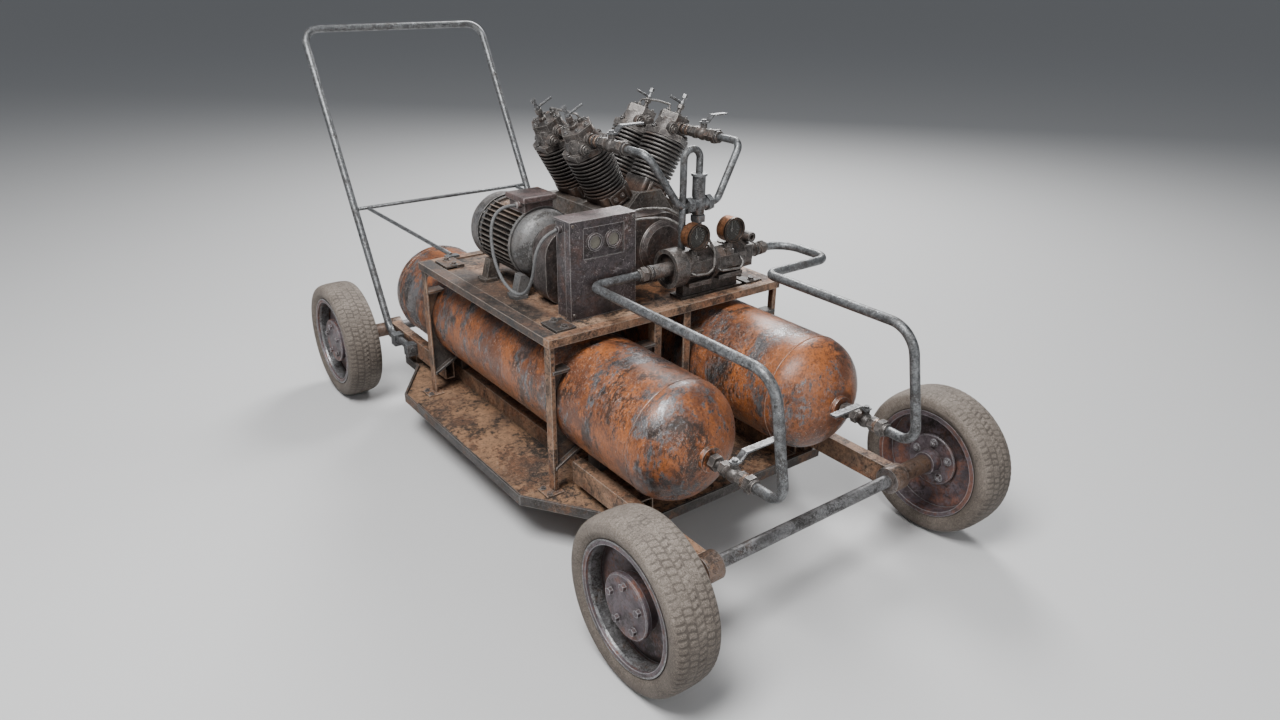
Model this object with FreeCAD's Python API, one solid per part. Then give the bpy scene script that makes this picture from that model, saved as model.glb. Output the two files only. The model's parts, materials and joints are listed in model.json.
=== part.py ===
"""Wheelbarrow air compressor: a four-wheeled hand cart with two air tanks, a motor, a belt-driven
V4 compressor, a regulator with two gauges and a control box. Millimetres, +Z up, X across the cart,
the push handle at +Y and the tank valves at -Y. The origin is on the ground, midway between the
front of the front tyres and the back of the push handle."""
import FreeCAD, Part
import math
import os

os.makedirs("parts", exist_ok=True)
V = FreeCAD.Vector
X_AXIS, Y_AXIS, Z_AXIS = V(1, 0, 0), V(0, 1, 0), V(0, 0, 1)
SIDES = (-1, 1)

# ---- driving dimensions ----
WHEEL_DIAMETER = 310.0
TYRE_WIDTH = 93.0
TRACK = 774.0
WHEELBASE = 1353.0
FRONT_AXLE_Y = -797.0
REAR_AXLE_Y = FRONT_AXLE_Y + WHEELBASE
AXLE_Z = WHEEL_DIAMETER / 2
AXLE_R = 13.0
RUNNING_GAP = 0.06
SLEEVE_R = 19.0
HUB_INNER, HUB_OUTER = 40.0, 10.0
AXLE_END = 20.0
COLLAR_R = 27.0

BASE_Y = -73.0
BASE_HALF_WIDTH = 368.0
BASE_HALF_END_WIDTH = 272.0
BASE_HALF_SIDE = 287.0
BASE_HALF_CHAMFER = 428.0
BASE_HALF_LENGTH = 506.0
BASE_Z = 110.0
TUBE_WALL = 3.0
PLATE_T = 6.0
RIM_TOP = 117.0
RIM_T = 5.0
RIM_HEIGHT = 22.0

BEAM_INNER_X, BEAM_OUTER_X = 237.0, 262.0
BEAM_BOTTOM, BEAM_TOP = 132.0, 178.0
BEAM_INNER_ENDS = (-395.0, 198.0)
RAIL_INNER_X, RAIL_OUTER_X = 182.0, 216.0
RAIL_TOP = 150.0

TANK_X, TANK_Z, TANK_R = 170.0, 300.0, 119.0
TANK_FRONT_Y, TANK_REAR_Y = -703.0, 474.0
TANK_HEAD = 88.0
TANK_WALL = 4.0

DECK_TOP = 446.0
DECK_T = 5.0
DECK_HALF_WIDTH = 304.0
DECK_FRONT_Y, DECK_REAR_Y = -389.0, 203.0
ANGLE_T = 4.0
DECK_EDGE_DROP = 13.0
POST_FLANGE = 22.0
MID_POST_X = 30.0
FOOT_T = 4.0

HANDLE_R = 10.0
HANDLE_X = 273.0
HANDLE_TOP = V(0, 942, 924)
HANDLE_KNEE = V(0, 519, 157)
HANDLE_END_Y = 363.0
CROSSBAR_Z = 468.0

MOTOR_X, MOTOR_Z = -150.0, 548.0
MOTOR_R, MOTOR_CORE_R = 80.0, 68.0
MOTOR_FRONT_Y, MOTOR_FINS_Y0, MOTOR_FINS_Y1, MOTOR_REAR_Y = -157.0, -107.0, 22.0, 88.0
MOTOR_SHAFT_R = 11.0
MOTOR_FIN_COUNT, MOTOR_FIN_T = 44, 2.4

CRANK_X, CRANK_Z = 93.0, 525.0
CRANKCASE_Y0, CRANKCASE_Y1 = -157.0, 79.0
CYLINDER_YS = (-92.0, 33.0)
BANK_ANGLE = 28.0
BORE_R = 27.0
FIN_R, BARREL_R = 52.0, 37.0
BARREL_BASE, FINS_START, HEAD_START, HEAD_END = 92.0, 130.0, 232.0, 290.0
FIN_COUNT = 11
CRANK_THROW = 16.0

PULLEY_Y0, PULLEY_Y1 = -205.0, -181.0
MOTOR_PULLEY_R, FLYWHEEL_R = 34.0, 68.0
BELT_DEPTH = 8.0
GUARD_Y0, GUARD_Y1 = -222.0, -169.0
GUARD_R_LEFT, GUARD_R_RIGHT = 56.0, 76.0
GUARD_CORNER = 38.0
GUARD_T = 3.0

PIPE_R = 9.5
DISCHARGE_R = 8.0
REG_Y, REG_Z = -335.0, 516.0
COLUMN_X = 100.0
COLUMN_FOOT = 36.0
TEE_Z = 643.0
GAUGE_XS = (68.0, 166.0)
GAUGE_Z = 586.0
GAUGE_R = 27.0
GAUGE_FACE_Y, GAUGE_BACK_Y = -381.0, -351.0
OUTLET_X, OUTLET_Z, OUTLET_R = 228.0, 558.0, 5.7

BOX_X0, BOX_X1 = -207.0, -55.0
BOX_Y0, BOX_Y1 = -322.0, -268.0
BOX_TOP = 648.0
BOX_COVER_T = 18.0
BOX_GLAND_BACK = 17.0
METER_R, METER_GLASS_R = 18.0, 13.0

CABLE_R = 3.4
SENSE_R = 2.5
SENSE_PORTS = ((12.0, 14.0), (17.0, 31.0))
DRAIN_R = 2.6


# ---- shape helpers ----
def box(x0, x1, y0, y1, z0, z1):
    """A block between two corners."""
    return Part.makeBox(x1 - x0, y1 - y0, z1 - z0, V(x0, y0, z0))


def cyl(start, axis, radius, length):
    """A round bar that starts at a point and runs along an axis."""
    return Part.makeCylinder(radius, length, start, axis)


def ring(start, axis, outer, inner, length):
    """A round tube."""
    return cyl(start, axis, outer, length).cut(cyl(start - axis, axis, inner, length + 2))


def hexagon(start, axis, across, length, turn=0.0):
    """A hexagonal bar, such as a nut or a bolt head."""
    radius = across / math.sqrt(3)
    angles = [math.radians(60 * k + turn) for k in range(7)]
    corners = [V(radius * math.cos(angle), radius * math.sin(angle), 0) for angle in angles]
    bar = Part.Face(Part.makePolygon(corners)).extrude(V(0, 0, length))
    bar.Placement = FreeCAD.Placement(start, FreeCAD.Rotation(Z_AXIS, axis))
    return bar


def prism(points, direction):
    """A closed outline of points pushed along a direction."""
    return Part.Face(Part.makePolygon(points + [points[0]])).extrude(direction)


def xz_prism(outline, y0, y1):
    """A plate whose outline lies in the X-Z plane."""
    return prism([V(x, y0, z) for x, z in outline], V(0, y1 - y0, 0))


def mirrored(shape):
    """The same shape on the other side of the cart."""
    return shape.mirror(V(0, 0, 0), X_AXIS)


def both_sides(shape):
    """A shape and its mirror image, as separate solids."""
    return [shape, mirrored(shape)]


def fuse(shapes):
    """One solid from several that overlap."""
    return shapes[0].multiFuse(shapes[1:]).removeSplitter()


def bend_points(before, corner, after, radius):
    """Where an arc of a given radius leaves and rejoins the two runs at a corner."""
    into, out = (corner - before).normalize(), (after - corner).normalize()
    turn = into.getAngle(out)
    setback = radius * math.tan(turn / 2)
    first, last = corner - into * setback, corner + out * setback
    toward = (out - into).normalize()
    centre = corner + toward * (radius / math.cos(turn / 2))
    middle = centre - toward * radius
    return first, middle, last


def route_wire(points, radii):
    """Straight runs joined by tangent arcs; one radius for each inner point."""
    edges = []
    here = points[0]
    for k in range(1, len(points) - 1):
        first, middle, last = bend_points(points[k - 1], points[k], points[k + 1], radii[k - 1])
        if (first - here).Length > 0.01:
            edges.append(Part.LineSegment(here, first).toShape())
        edges.append(Part.Arc(first, middle, last).toShape())
        here = last
    edges.append(Part.LineSegment(here, points[-1]).toShape())
    return Part.Wire(edges)


def pipe(points, radii, outer):
    """A round bar bent along a route."""
    path = route_wire(points, radii)
    start = Part.Wire(Part.makeCircle(outer, points[0], (points[1] - points[0]).normalize()))
    return path.makePipeShell([start], True, False)


def cord_radii(points):
    """The largest arc that the two runs at each inner point allow."""
    radii = []
    for k in range(1, len(points) - 1):
        into, out = points[k] - points[k - 1], points[k + 1] - points[k]
        turn = into.getAngle(out)
        radii.append(0.45 * min(into.Length, out.Length) / math.tan(turn / 2))
    return radii


def revolve(outline, centre, axis):
    """A ring or disc turned from (distance along the axis, radius) points."""
    points = [V(0, r, u) for u, r in outline]
    solid = Part.Face(Part.makePolygon(points + [points[0]])).revolve(V(0, 0, 0), Z_AXIS, 360)
    solid.Placement = FreeCAD.Placement(centre, FreeCAD.Rotation(Z_AXIS, axis))
    return solid


def save(name, shapes):
    """Write one sub-part; a list of shapes is a group of separate solids."""
    shape = Part.makeCompound(shapes) if isinstance(shapes, list) else shapes
    shape.exportStep("parts/" + name + ".step")


# ---- cart frame ----
def base_outline(inset):
    """The base plate's outline: a rectangle with narrowed ends, pulled in by an inset."""
    wide, narrow = BASE_HALF_WIDTH - inset, BASE_HALF_END_WIDTH - inset
    side = BASE_HALF_SIDE - inset * 0.3
    chamfer = BASE_HALF_CHAMFER - inset * 0.3
    end = BASE_HALF_LENGTH - inset
    quarter = [(narrow, end), (narrow, chamfer), (wide, side)]
    right = quarter + [(x, -y) for x, y in reversed(quarter)]
    return right + [(-x, -y) for x, y in right]


def flat_outline(inset, z):
    """The base outline at a height, as points."""
    return [V(x, BASE_Y + y, z) for x, y in base_outline(inset)]


def base_plate():
    """The flat sheet that the cart is built on."""
    return prism(flat_outline(RIM_T, BASE_Z - PLATE_T), V(0, 0, PLATE_T))


def base_rim():
    """Angle iron round the base plate, in mitred lengths: an upright edge and a ledge under the plate."""
    outer, inner = flat_outline(0, 0), flat_outline(RIM_T, 0)
    ledge = flat_outline(RIM_T + 18, 0)
    bars = []
    for k in range(len(outer)):
        n = (k + 1) % len(outer)
        upright = prism([outer[k], outer[n], inner[n], inner[k]], V(0, 0, RIM_HEIGHT))
        upright.translate(V(0, 0, RIM_TOP - RIM_HEIGHT))
        lip = prism([inner[k], inner[n], ledge[n], ledge[k]], V(0, 0, RIM_T))
        lip.translate(V(0, 0, BASE_Z - PLATE_T - RIM_T))
        bars.append(fuse([upright, lip]))
    return bars


def hollow_bar(x0, x1, y0, y1, z0, z1, wall):
    """A rectangular steel tube that runs along Y."""
    inner = box(x0 + wall, x1 - wall, y0 - 1, y1 + 1, z0 + wall, z1 - wall)
    return box(x0, x1, y0, y1, z0, z1).cut(inner)


def frame_beams():
    """Short beams from each axle to the nearer posts, their spacers, and the two rails under the tanks."""
    solids = []
    for axle_y, inner_end, inward in zip((FRONT_AXLE_Y, REAR_AXLE_Y), BEAM_INNER_ENDS, (1, -1)):
        y0, y1 = sorted((axle_y + inward * 10, inner_end))
        beam = hollow_bar(BEAM_INNER_X, BEAM_OUTER_X, y0, y1, BEAM_BOTTOM, BEAM_TOP, TUBE_WALL)
        beam = beam.cut(cyl(V(BEAM_INNER_X - 20, axle_y, AXLE_Z), X_AXIS, COLLAR_R, 80))
        y_edge = BASE_Y - inward * (BASE_HALF_LENGTH - 32)
        spacer = box(BEAM_INNER_X, BEAM_OUTER_X, y_edge - 20, y_edge + 20, BASE_Z, BEAM_BOTTOM)
        solids += both_sides(beam) + both_sides(spacer)
    half_rail = BASE_HALF_LENGTH - 18
    rail_y0, rail_y1 = BASE_Y - half_rail, BASE_Y + half_rail
    rail = hollow_bar(RAIL_INNER_X, RAIL_OUTER_X, rail_y0, rail_y1, BASE_Z, RAIL_TOP, TUBE_WALL)
    return solids + both_sides(rail)


def axle(y):
    """A through axle with a sleeve and a welded collar at each side, and a nut inside each hub cap."""
    stub_end = TRACK / 2 + AXLE_END
    rod = cyl(V(-stub_end, y, AXLE_Z), X_AXIS, AXLE_R, 2 * stub_end)
    nut = hexagon(V(TRACK / 2 + HUB_OUTER + 0.6, y, AXLE_Z), X_AXIS, 30, 9)
    sleeve_end = TRACK / 2 - HUB_INNER - 0.6
    sleeve = cyl(V(BEAM_OUTER_X - 2, y, AXLE_Z), X_AXIS, SLEEVE_R, sleeve_end - BEAM_OUTER_X + 2)
    collar = cyl(V(BEAM_INNER_X - 9, y, AXLE_Z), X_AXIS, COLLAR_R, 36)
    return fuse([rod] + both_sides(sleeve) + both_sides(collar) + both_sides(nut))


def tank_round():
    """The space that a tank takes, a hair larger than the tank."""
    return cyl(V(TANK_X, TANK_FRONT_Y, TANK_Z), Y_AXIS, TANK_R + 0.3, TANK_REAR_Y - TANK_FRONT_Y)


def angle_post(x_outer, x_inner, y_face, depth):
    """An upright angle iron; one flange faces the cart's side and one its front or back."""
    side = box(min(x_outer, x_outer - ANGLE_T), max(x_outer, x_outer - ANGLE_T), min(y_face, y_face + depth),
               max(y_face, y_face + depth), BASE_Z + FOOT_T, DECK_TOP - DECK_T)
    turn = math.copysign(ANGLE_T, depth)
    front = box(x_inner, x_outer, min(y_face, y_face + turn), max(y_face, y_face + turn),
                BASE_Z + FOOT_T, DECK_TOP - DECK_T)
    return fuse([side, front])


POST_OUTER_X = DECK_HALF_WIDTH - ANGLE_T
POST_INNER_X = TANK_X + TANK_R + 1.0
POST_PLANES = ((DECK_FRONT_Y + ANGLE_T, POST_FLANGE), (DECK_REAR_Y - ANGLE_T, -POST_FLANGE))


def deck_posts():
    """Four corner posts and four posts between the tanks, each on its foot plate."""
    solids = []
    for y_face, depth in POST_PLANES:
        solids += both_sides(angle_post(POST_OUTER_X, POST_INNER_X, y_face, depth))
        solids += both_sides(angle_post(MID_POST_X + 18, MID_POST_X, y_face, depth))
        y_mid = y_face + depth / 2
        for x0, x1 in ((POST_INNER_X - 8, POST_OUTER_X + 22), (MID_POST_X - 12, MID_POST_X + 30)):
            solids += both_sides(box(x0, x1, y_mid - 20, y_mid + 20, BASE_Z, BASE_Z + FOOT_T))
    return solids


def saddle(x_post, toward, y_mid):
    """A bracket between a post and a tank: a web that follows the tank, a top flange and a lower strut."""
    top, low = TANK_Z + 82.0, TANK_Z - 130.0
    reach = x_post + toward * 62
    outline = [(x_post, top), (reach, top), (reach, TANK_Z - 96), (x_post, low)]
    web = xz_prism(outline, y_mid - 3, y_mid + 3)
    flange = box(min(x_post, reach), max(x_post, reach), y_mid - 15, y_mid + 15, top - 6, top)
    strut = xz_prism([(x_post, low - 7), (reach, TANK_Z - 103), (reach, TANK_Z - 96), (x_post, low)],
                     y_mid - 15, y_mid + 15)
    return fuse([web, flange, strut]).cut(tank_round())


def tank_cradles():
    """Eight brackets that hold the tanks between the posts, and four blocks on the rails below."""
    solids = []
    for y_face, depth in POST_PLANES:
        y_mid = y_face - math.copysign(18, depth)
        y_web = y_face + depth / 2
        for x_post, toward in ((POST_INNER_X + 6, -1), (MID_POST_X + 18, 1)):
            bracket = saddle(x_post, toward, y_web)
            posts = [angle_post(POST_OUTER_X, POST_INNER_X, y_face, depth),
                     angle_post(MID_POST_X + 18, MID_POST_X, y_face, depth)]
            for post in posts:
                bracket = bracket.cut(post)
            solids += [s for side in both_sides(bracket) for s in side.Solids]
        block = box(RAIL_INNER_X, RAIL_OUTER_X, y_mid - 20, y_mid + 20, RAIL_TOP, TANK_Z - 90)
        solids += both_sides(block.cut(tank_round()))
    return solids


def deck_plate():
    """The flat sheet on top of the posts."""
    inset = ANGLE_T
    plate = box(-DECK_HALF_WIDTH + inset, DECK_HALF_WIDTH - inset, DECK_FRONT_Y + inset, DECK_REAR_Y - inset,
                DECK_TOP - DECK_T, DECK_TOP)
    return plate


def deck_rails():
    """Angle iron round the deck: a flange on the deck's edge and an upright edge outside it."""
    flange_width, top = 30.0, DECK_TOP + ANGLE_T
    bottom = DECK_TOP - DECK_EDGE_DROP
    x1, t = DECK_HALF_WIDTH, ANGLE_T
    side = fuse([box(x1 - flange_width, x1, DECK_FRONT_Y, DECK_REAR_Y, DECK_TOP, top),
                 box(x1 - t, x1, DECK_FRONT_Y, DECK_REAR_Y, bottom, top)])
    inner = x1 - flange_width
    front = fuse([box(-inner, inner, DECK_FRONT_Y, DECK_FRONT_Y + 24, DECK_TOP, top),
                  box(-x1 + t, x1 - t, DECK_FRONT_Y, DECK_FRONT_Y + t, bottom, DECK_TOP)])
    rear = fuse([box(-inner, inner, DECK_REAR_Y - 24, DECK_REAR_Y, DECK_TOP, top),
                 box(-x1 + t, x1 - t, DECK_REAR_Y - t, DECK_REAR_Y, bottom, DECK_TOP)])
    return both_sides(side) + [front, rear]


GUSSET_X = DECK_HALF_WIDTH - 45.0
GUSSET_YS = (DECK_FRONT_Y + 55.0, DECK_REAR_Y - 55.0)


def gusset(y):
    """A plate that lies on the deck and steps up over the angle iron beside it."""
    top = DECK_TOP + ANGLE_T + 4
    flap = box(GUSSET_X - 34, GUSSET_X + 12, y - 30, y + 30, DECK_TOP + ANGLE_T, top)
    base = box(GUSSET_X - 34, GUSSET_X - 15, y - 30, y + 30, DECK_TOP, top)
    return fuse([flap, base])


def corner_gussets():
    """Flat plates bolted over the deck's corners."""
    solids = []
    for y in GUSSET_YS:
        solids += both_sides(gusset(y))
    return solids


def bolt(x, y, z, head=5.0, across=11.0):
    """A hexagon bolt head with its washer, standing on a plate."""
    return fuse([cyl(V(x, y, z), Z_AXIS, across * 0.75, 1.5), hexagon(V(x, y, z + 1), Z_AXIS, across, head)])


def frame_bolts():
    """Bolts of the corner plates and of the post feet."""
    solids = []
    for y in GUSSET_YS:
        for dy in (-20, 20):
            solids += both_sides(bolt(GUSSET_X - 12, y + dy, DECK_TOP + ANGLE_T + 4))
    for y_face, depth in POST_PLANES:
        y_mid = y_face + depth / 2
        for dy in (-13, 13):
            solids += both_sides(bolt(POST_OUTER_X + 13, y_mid + dy, BASE_Z + FOOT_T, 4, 9))
    return solids


# ---- tanks ----
def ellipse_tank(inset):
    """A tank-shaped body: a cylinder with a half ellipsoid at each end."""
    radius, depth = TANK_R - inset, TANK_HEAD - inset
    y0, y1 = TANK_FRONT_Y + TANK_HEAD, TANK_REAR_Y - TANK_HEAD
    body = Part.makeCylinder(radius, y1 - y0, V(0, y0, 0), Y_AXIS)
    heads = []
    for y in (y0, y1):
        ball = Part.makeSphere(radius)
        squeeze = FreeCAD.Matrix()
        squeeze.scale(1, depth / radius, 1)
        head = ball.transformGeometry(squeeze)
        head.translate(V(0, y, 0))
        heads.append(head)
    return body.multiFuse(heads)


def tank(side):
    """A pressure tank: a hollow shell with a threaded boss at each end."""
    shell = ellipse_tank(0)
    bosses = [cyl(V(0, TANK_FRONT_Y - 8, 0), Y_AXIS, 24, 26), cyl(V(0, TANK_REAR_Y - 18, 0), Y_AXIS, 24, 22)]
    bore = cyl(V(0, TANK_FRONT_Y - 9, 0), Y_AXIS, DISCHARGE_R + 0.5, 40)
    shell = shell.multiFuse(bosses).cut(ellipse_tank(TANK_WALL)).cut(bore)
    shell.translate(V(side * TANK_X, 0, TANK_Z))
    return shell


# ---- wheels ----
WHEEL_CENTRES = {"front_left": (-1, FRONT_AXLE_Y), "front_right": (1, FRONT_AXLE_Y),
                 "rear_left": (-1, REAR_AXLE_Y), "rear_right": (1, REAR_AXLE_Y)}
RIM_R = 112.0
RIM_WALL = 5.0
BEAD_HALF_WIDTH = 36.0
LIP = 5.0
HUB_R = 24.0
CAP_R, CAP_FACE, CAP_T = 58.0, 34.0, 10.0
CAP_DRUM_R = 50.0
HUB_BOLTS = 5


def tyre(centre, axis):
    """A fat tyre: rounded tread and side walls down to the rim."""
    half, outer = TYRE_WIDTH / 2, WHEEL_DIAMETER / 2
    steps = 12
    mid_r, half_r = (outer + RIM_R) / 2, (outer - RIM_R) / 2
    bead, lip = BEAD_HALF_WIDTH, RIM_R + LIP
    outline = [(-bead, RIM_R), (-bead, lip), (-bead - 4, lip)]
    for k in range(steps + 1):
        angle = math.radians(-150 + 300 * k / steps)
        u = half * math.copysign(abs(math.sin(angle)) ** 0.72, math.sin(angle))
        r = mid_r + half_r * math.copysign(abs(math.cos(angle)) ** 0.8, math.cos(angle))
        if abs(u) > bead or r > mid_r:
            outline.append((u, r))
    outline += [(bead + 4, lip), (bead, lip), (bead, RIM_R)]
    return revolve(outline, centre, axis)


def wheel(centre, axis):
    """A steel wheel: a rim with two lips, and a dished disc with its hub and a bolted hub cap."""
    b, lip, inner = BEAD_HALF_WIDTH, RIM_R + LIP, RIM_R - RIM_WALL
    rim = revolve([(-b - 4, lip), (-b, lip), (-b, RIM_R), (b, RIM_R), (b, lip), (b + 4, lip), (b + 4, inner),
                   (-b - 4, inner)], centre, axis)
    bore = AXLE_R + RUNNING_GAP
    disc_outline = [(-7, inner), (3, inner), (9, 92), (4, 60), (4, HUB_R), (-6, HUB_R), (-6, 60), (-1, 92)]
    disc = revolve(disc_outline, centre, axis)
    hub_outline = [(-HUB_INNER, bore), (-HUB_INNER, HUB_R), (HUB_OUTER, HUB_R), (HUB_OUTER, bore)]
    hub = revolve(hub_outline, centre, axis)
    back = CAP_FACE - CAP_T
    cap = revolve([(4, 40), (4, CAP_DRUM_R), (back, CAP_DRUM_R), (back, CAP_R), (CAP_FACE - 2, CAP_R),
                   (CAP_FACE, CAP_R - 2), (CAP_FACE, 0), (back, 0), (back, 40)], centre, axis)
    middle = [disc, hub, cap]
    for k in range(HUB_BOLTS):
        angle = 2 * math.pi * (k + 0.2) / HUB_BOLTS
        across = V(0, math.cos(angle), math.sin(angle))
        middle.append(hexagon(centre + across * 40 + axis * CAP_FACE, axis, 12, 7))
        middle.append(hexagon(centre + across * 44 - axis * 6, axis * -1, 12, 7))
    return [rim, fuse(middle)]


# ---- push handle ----
def leg_point(z):
    """The handle leg's centre line at a height."""
    share = (z - HANDLE_KNEE.z) / (HANDLE_TOP.z - HANDLE_KNEE.z)
    return HANDLE_KNEE + (HANDLE_TOP - HANDLE_KNEE) * share


def at_x(point, x):
    """The same point at another place across the cart."""
    return V(x, point.y, point.z)


def handle_tube():
    """One bent tube: two feet along the beams, two sloping legs and the top bar."""
    foot = V(0, HANDLE_END_Y, HANDLE_KNEE.z)
    left = [at_x(p, -HANDLE_X) for p in (foot, HANDLE_KNEE, HANDLE_TOP)]
    right = [at_x(p, HANDLE_X) for p in (HANDLE_TOP, HANDLE_KNEE, foot)]
    return pipe(left + right, [55, 45, 45, 55], HANDLE_R)


def handle_crossbar():
    """A thin rod between the legs."""
    p = leg_point(CROSSBAR_Z)
    reach = HANDLE_X - HANDLE_R
    return cyl(V(-reach, p.y, p.z), X_AXIS, 5, 2 * reach)


def handle_brackets():
    """Two thin braces from the crossbar to the deck, and the clamps that hold the handle's feet."""
    bar = leg_point(CROSSBAR_Z)
    start = V(HANDLE_X - 38, bar.y - 5.4, bar.z - 2)
    deck = V(222, DECK_REAR_Y - 8, DECK_TOP + ANGLE_T + 5)
    run = deck - start
    brace = cyl(start, run.normalize(), 5, (deck - start).Length)
    tab = box(206, 238, DECK_REAR_Y - 22, DECK_REAR_Y - 4, DECK_TOP + ANGLE_T, DECK_TOP + ANGLE_T + 6)
    solids = both_sides(fuse([brace, tab]))
    for y in (HANDLE_END_Y + 2, HANDLE_END_Y + 88):
        block = box(BEAM_OUTER_X, HANDLE_X + 17, y, y + 26, HANDLE_KNEE.z - 16, HANDLE_KNEE.z + 16)
        solids += both_sides(block.cut(cyl(V(HANDLE_X, y - 1, HANDLE_KNEE.z), Y_AXIS, HANDLE_R, 28)))
    return solids


# ---- motor ----
def motor_point(y):
    """A point on the motor's axis."""
    return V(MOTOR_X, y, MOTOR_Z)


def motor_fins():
    """Thin ribs along the casing, with smooth bands under the terminal box and between the feet."""
    fins = []
    pitch = 360 / MOTOR_FIN_COUNT
    for k in range(MOTOR_FIN_COUNT):
        angle = (k + 0.5) * pitch
        if min(angle, 360 - angle) < 26 or abs(angle - 180) < 20:
            continue
        fin = box(-MOTOR_FIN_T / 2, MOTOR_FIN_T / 2, MOTOR_FINS_Y0, MOTOR_FINS_Y1, MOTOR_CORE_R - 3, MOTOR_R)
        fin.rotate(V(0, 0, 0), Y_AXIS, angle)
        fin.translate(motor_point(0))
        fins.append(fin)
    return fins


def motor_feet():
    """Four cast feet: a flange on the deck and a web that leans in to the casing."""
    casing = cyl(motor_point(MOTOR_FRONT_Y - 1), Y_AXIS, MOTOR_R + 0.02, MOTOR_REAR_Y - MOTOR_FRONT_Y)
    flange_top = DECK_TOP + 8
    feet = []
    for y in (MOTOR_FINS_Y0 - 26, MOTOR_FINS_Y1 - 20):
        for side in SIDES:
            x = MOTOR_X + side * 75
            block = box(x - 15, x + 15, y - 19, y + 19, DECK_TOP, flange_top)
            flange = cyl(V(x, y, DECK_TOP), Z_AXIS, 19, 8).fuse(block)
            outline = [(MOTOR_X + side * 84, flange_top - 1), (MOTOR_X + side * 72, MOTOR_Z - 52),
                       (MOTOR_X + side * 48, MOTOR_Z - 52), (MOTOR_X + side * 54, flange_top - 1)]
            web = xz_prism(outline, y - 12, y + 12)
            feet.append(fuse([flange, web]).cut(casing))
    return feet


def motor_housing():
    """A ribbed casing with two end bells, hollow for the rotor, and its four feet."""
    core = cyl(motor_point(MOTOR_FINS_Y0), Y_AXIS, MOTOR_CORE_R, MOTOR_FINS_Y1 - MOTOR_FINS_Y0)
    bell = [(0, 30), (0, 50), (8, 63), (20, 72), (32, 76), (40, 76),
            (40, 74), (43, 74), (43, 79), (50, 79), (50, 30)]
    front = revolve(bell, motor_point(MOTOR_FRONT_Y), Y_AXIS)
    rear = ring(motor_point(MOTOR_FINS_Y1), Y_AXIS, 74, 30, 10)
    hollow = cyl(motor_point(MOTOR_FRONT_Y + 12), Y_AXIS, 56, MOTOR_FINS_Y1 - MOTOR_FRONT_Y - 12)
    shaft_way = cyl(motor_point(MOTOR_FRONT_Y - 1), Y_AXIS, MOTOR_SHAFT_R + RUNNING_GAP, 240)
    body = fuse([core, front, rear] + motor_fins())
    front_wall = cyl(motor_point(MOTOR_FRONT_Y), Y_AXIS, 31, 12)
    rear_wall = cyl(motor_point(MOTOR_FINS_Y1), Y_AXIS, 31, 10)
    casing = body.cut(hollow).multiFuse([front_wall, rear_wall]).cut(shaft_way).removeSplitter()
    return [casing] + motor_feet()


def motor_fan_cover():
    """A domed sheet cover over the cooling fan, with air slots in its end."""
    y0, depth = MOTOR_FINS_Y1 + 10, MOTOR_REAR_Y - MOTOR_FINS_Y1 - 10
    inside = depth - 2.5
    outline = [(0, 78), (32, 78), (47, 70), (depth, 52), (depth, 0)]
    outline += [(inside, 0), (inside, 51), (45, 68), (31, 75.5), (0, 75.5)]
    cover = revolve(outline, motor_point(y0), Y_AXIS)
    for k in range(8):
        slot = box(-3, 3, MOTOR_REAR_Y - 6, MOTOR_REAR_Y + 4, 16, 44)
        slot.rotate(V(0, 0, 0), Y_AXIS, 45 * k)
        slot.translate(motor_point(0))
        cover = cover.cut(slot)
    return cover


def motor_rotor():
    """The shaft with the rotor core and the cooling fan."""
    shaft = cyl(motor_point(PULLEY_Y0 - 3), Y_AXIS, MOTOR_SHAFT_R, MOTOR_REAR_Y - 16 - PULLEY_Y0 + 3)
    core = cyl(motor_point(MOTOR_FINS_Y0), Y_AXIS, 48, 105)
    fan_hub = cyl(motor_point(MOTOR_FINS_Y1 + 14), Y_AXIS, 20, 18)
    blades = []
    for k in range(7):
        blade = box(-1.5, 1.5, MOTOR_FINS_Y1 + 14, MOTOR_FINS_Y1 + 32, 15, 60)
        blade.rotate(V(0, 0, 0), Y_AXIS, 360 * k / 7)
        blade.translate(motor_point(0))
        blades.append(blade)
    return fuse([shaft, core, fan_hub] + blades)


def terminal_box():
    """A shallow box on the motor with an overhanging lid and a cable gland on its left side."""
    x0, x1, y0, y1 = MOTOR_X - 46, MOTOR_X + 36, MOTOR_FINS_Y0 - 18, MOTOR_FINS_Y0 + 62
    body = box(x0 + 6, x1 - 6, y0 + 8, y1 - 8, MOTOR_Z + 60, MOTOR_Z + 92)
    body = body.cut(cyl(motor_point(y0 - 20), Y_AXIS, MOTOR_R + 0.03, 200))
    lid = box(x0, x1, y0, y1, MOTOR_Z + 92, MOTOR_Z + 105)
    gland = [cyl(V(x0 + 8, y0 + 22, MOTOR_Z + 88), X_AXIS * -1, 7.5, 14),
             cyl(V(x0 + 8, y0 + 22, MOTOR_Z + 88), X_AXIS * -1, 6, 16)]
    return fuse([body, lid.makeFillet(3, lid.Edges)] + gland)


# ---- belt drive ----
def pulley(x, z, radius, bore):
    """A pulley with one V groove."""
    width = PULLEY_Y1 - PULLEY_Y0
    middle, floor = width / 2, radius - BELT_DEPTH - 1
    outline = [(0, bore), (0, radius), (middle - 8, radius), (middle - 4, floor),
               (middle + 4, floor), (middle + 8, radius), (width, radius), (width, bore)]
    return revolve(outline, V(x, PULLEY_Y0, z), Y_AXIS)


def flywheel():
    """The compressor's belt wheel, with six cooling spokes."""
    wheel_disc = pulley(CRANK_X, CRANK_Z, FLYWHEEL_R, 14)
    for k in range(6):
        window = cyl(V(0, PULLEY_Y0 - 1, 36), Y_AXIS, 11, PULLEY_Y1 - PULLEY_Y0 + 2)
        window.rotate(V(0, 0, 0), Y_AXIS, 60 * k)
        window.translate(V(CRANK_X, 0, CRANK_Z))
        wheel_disc = wheel_disc.cut(window)
    return wheel_disc


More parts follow.
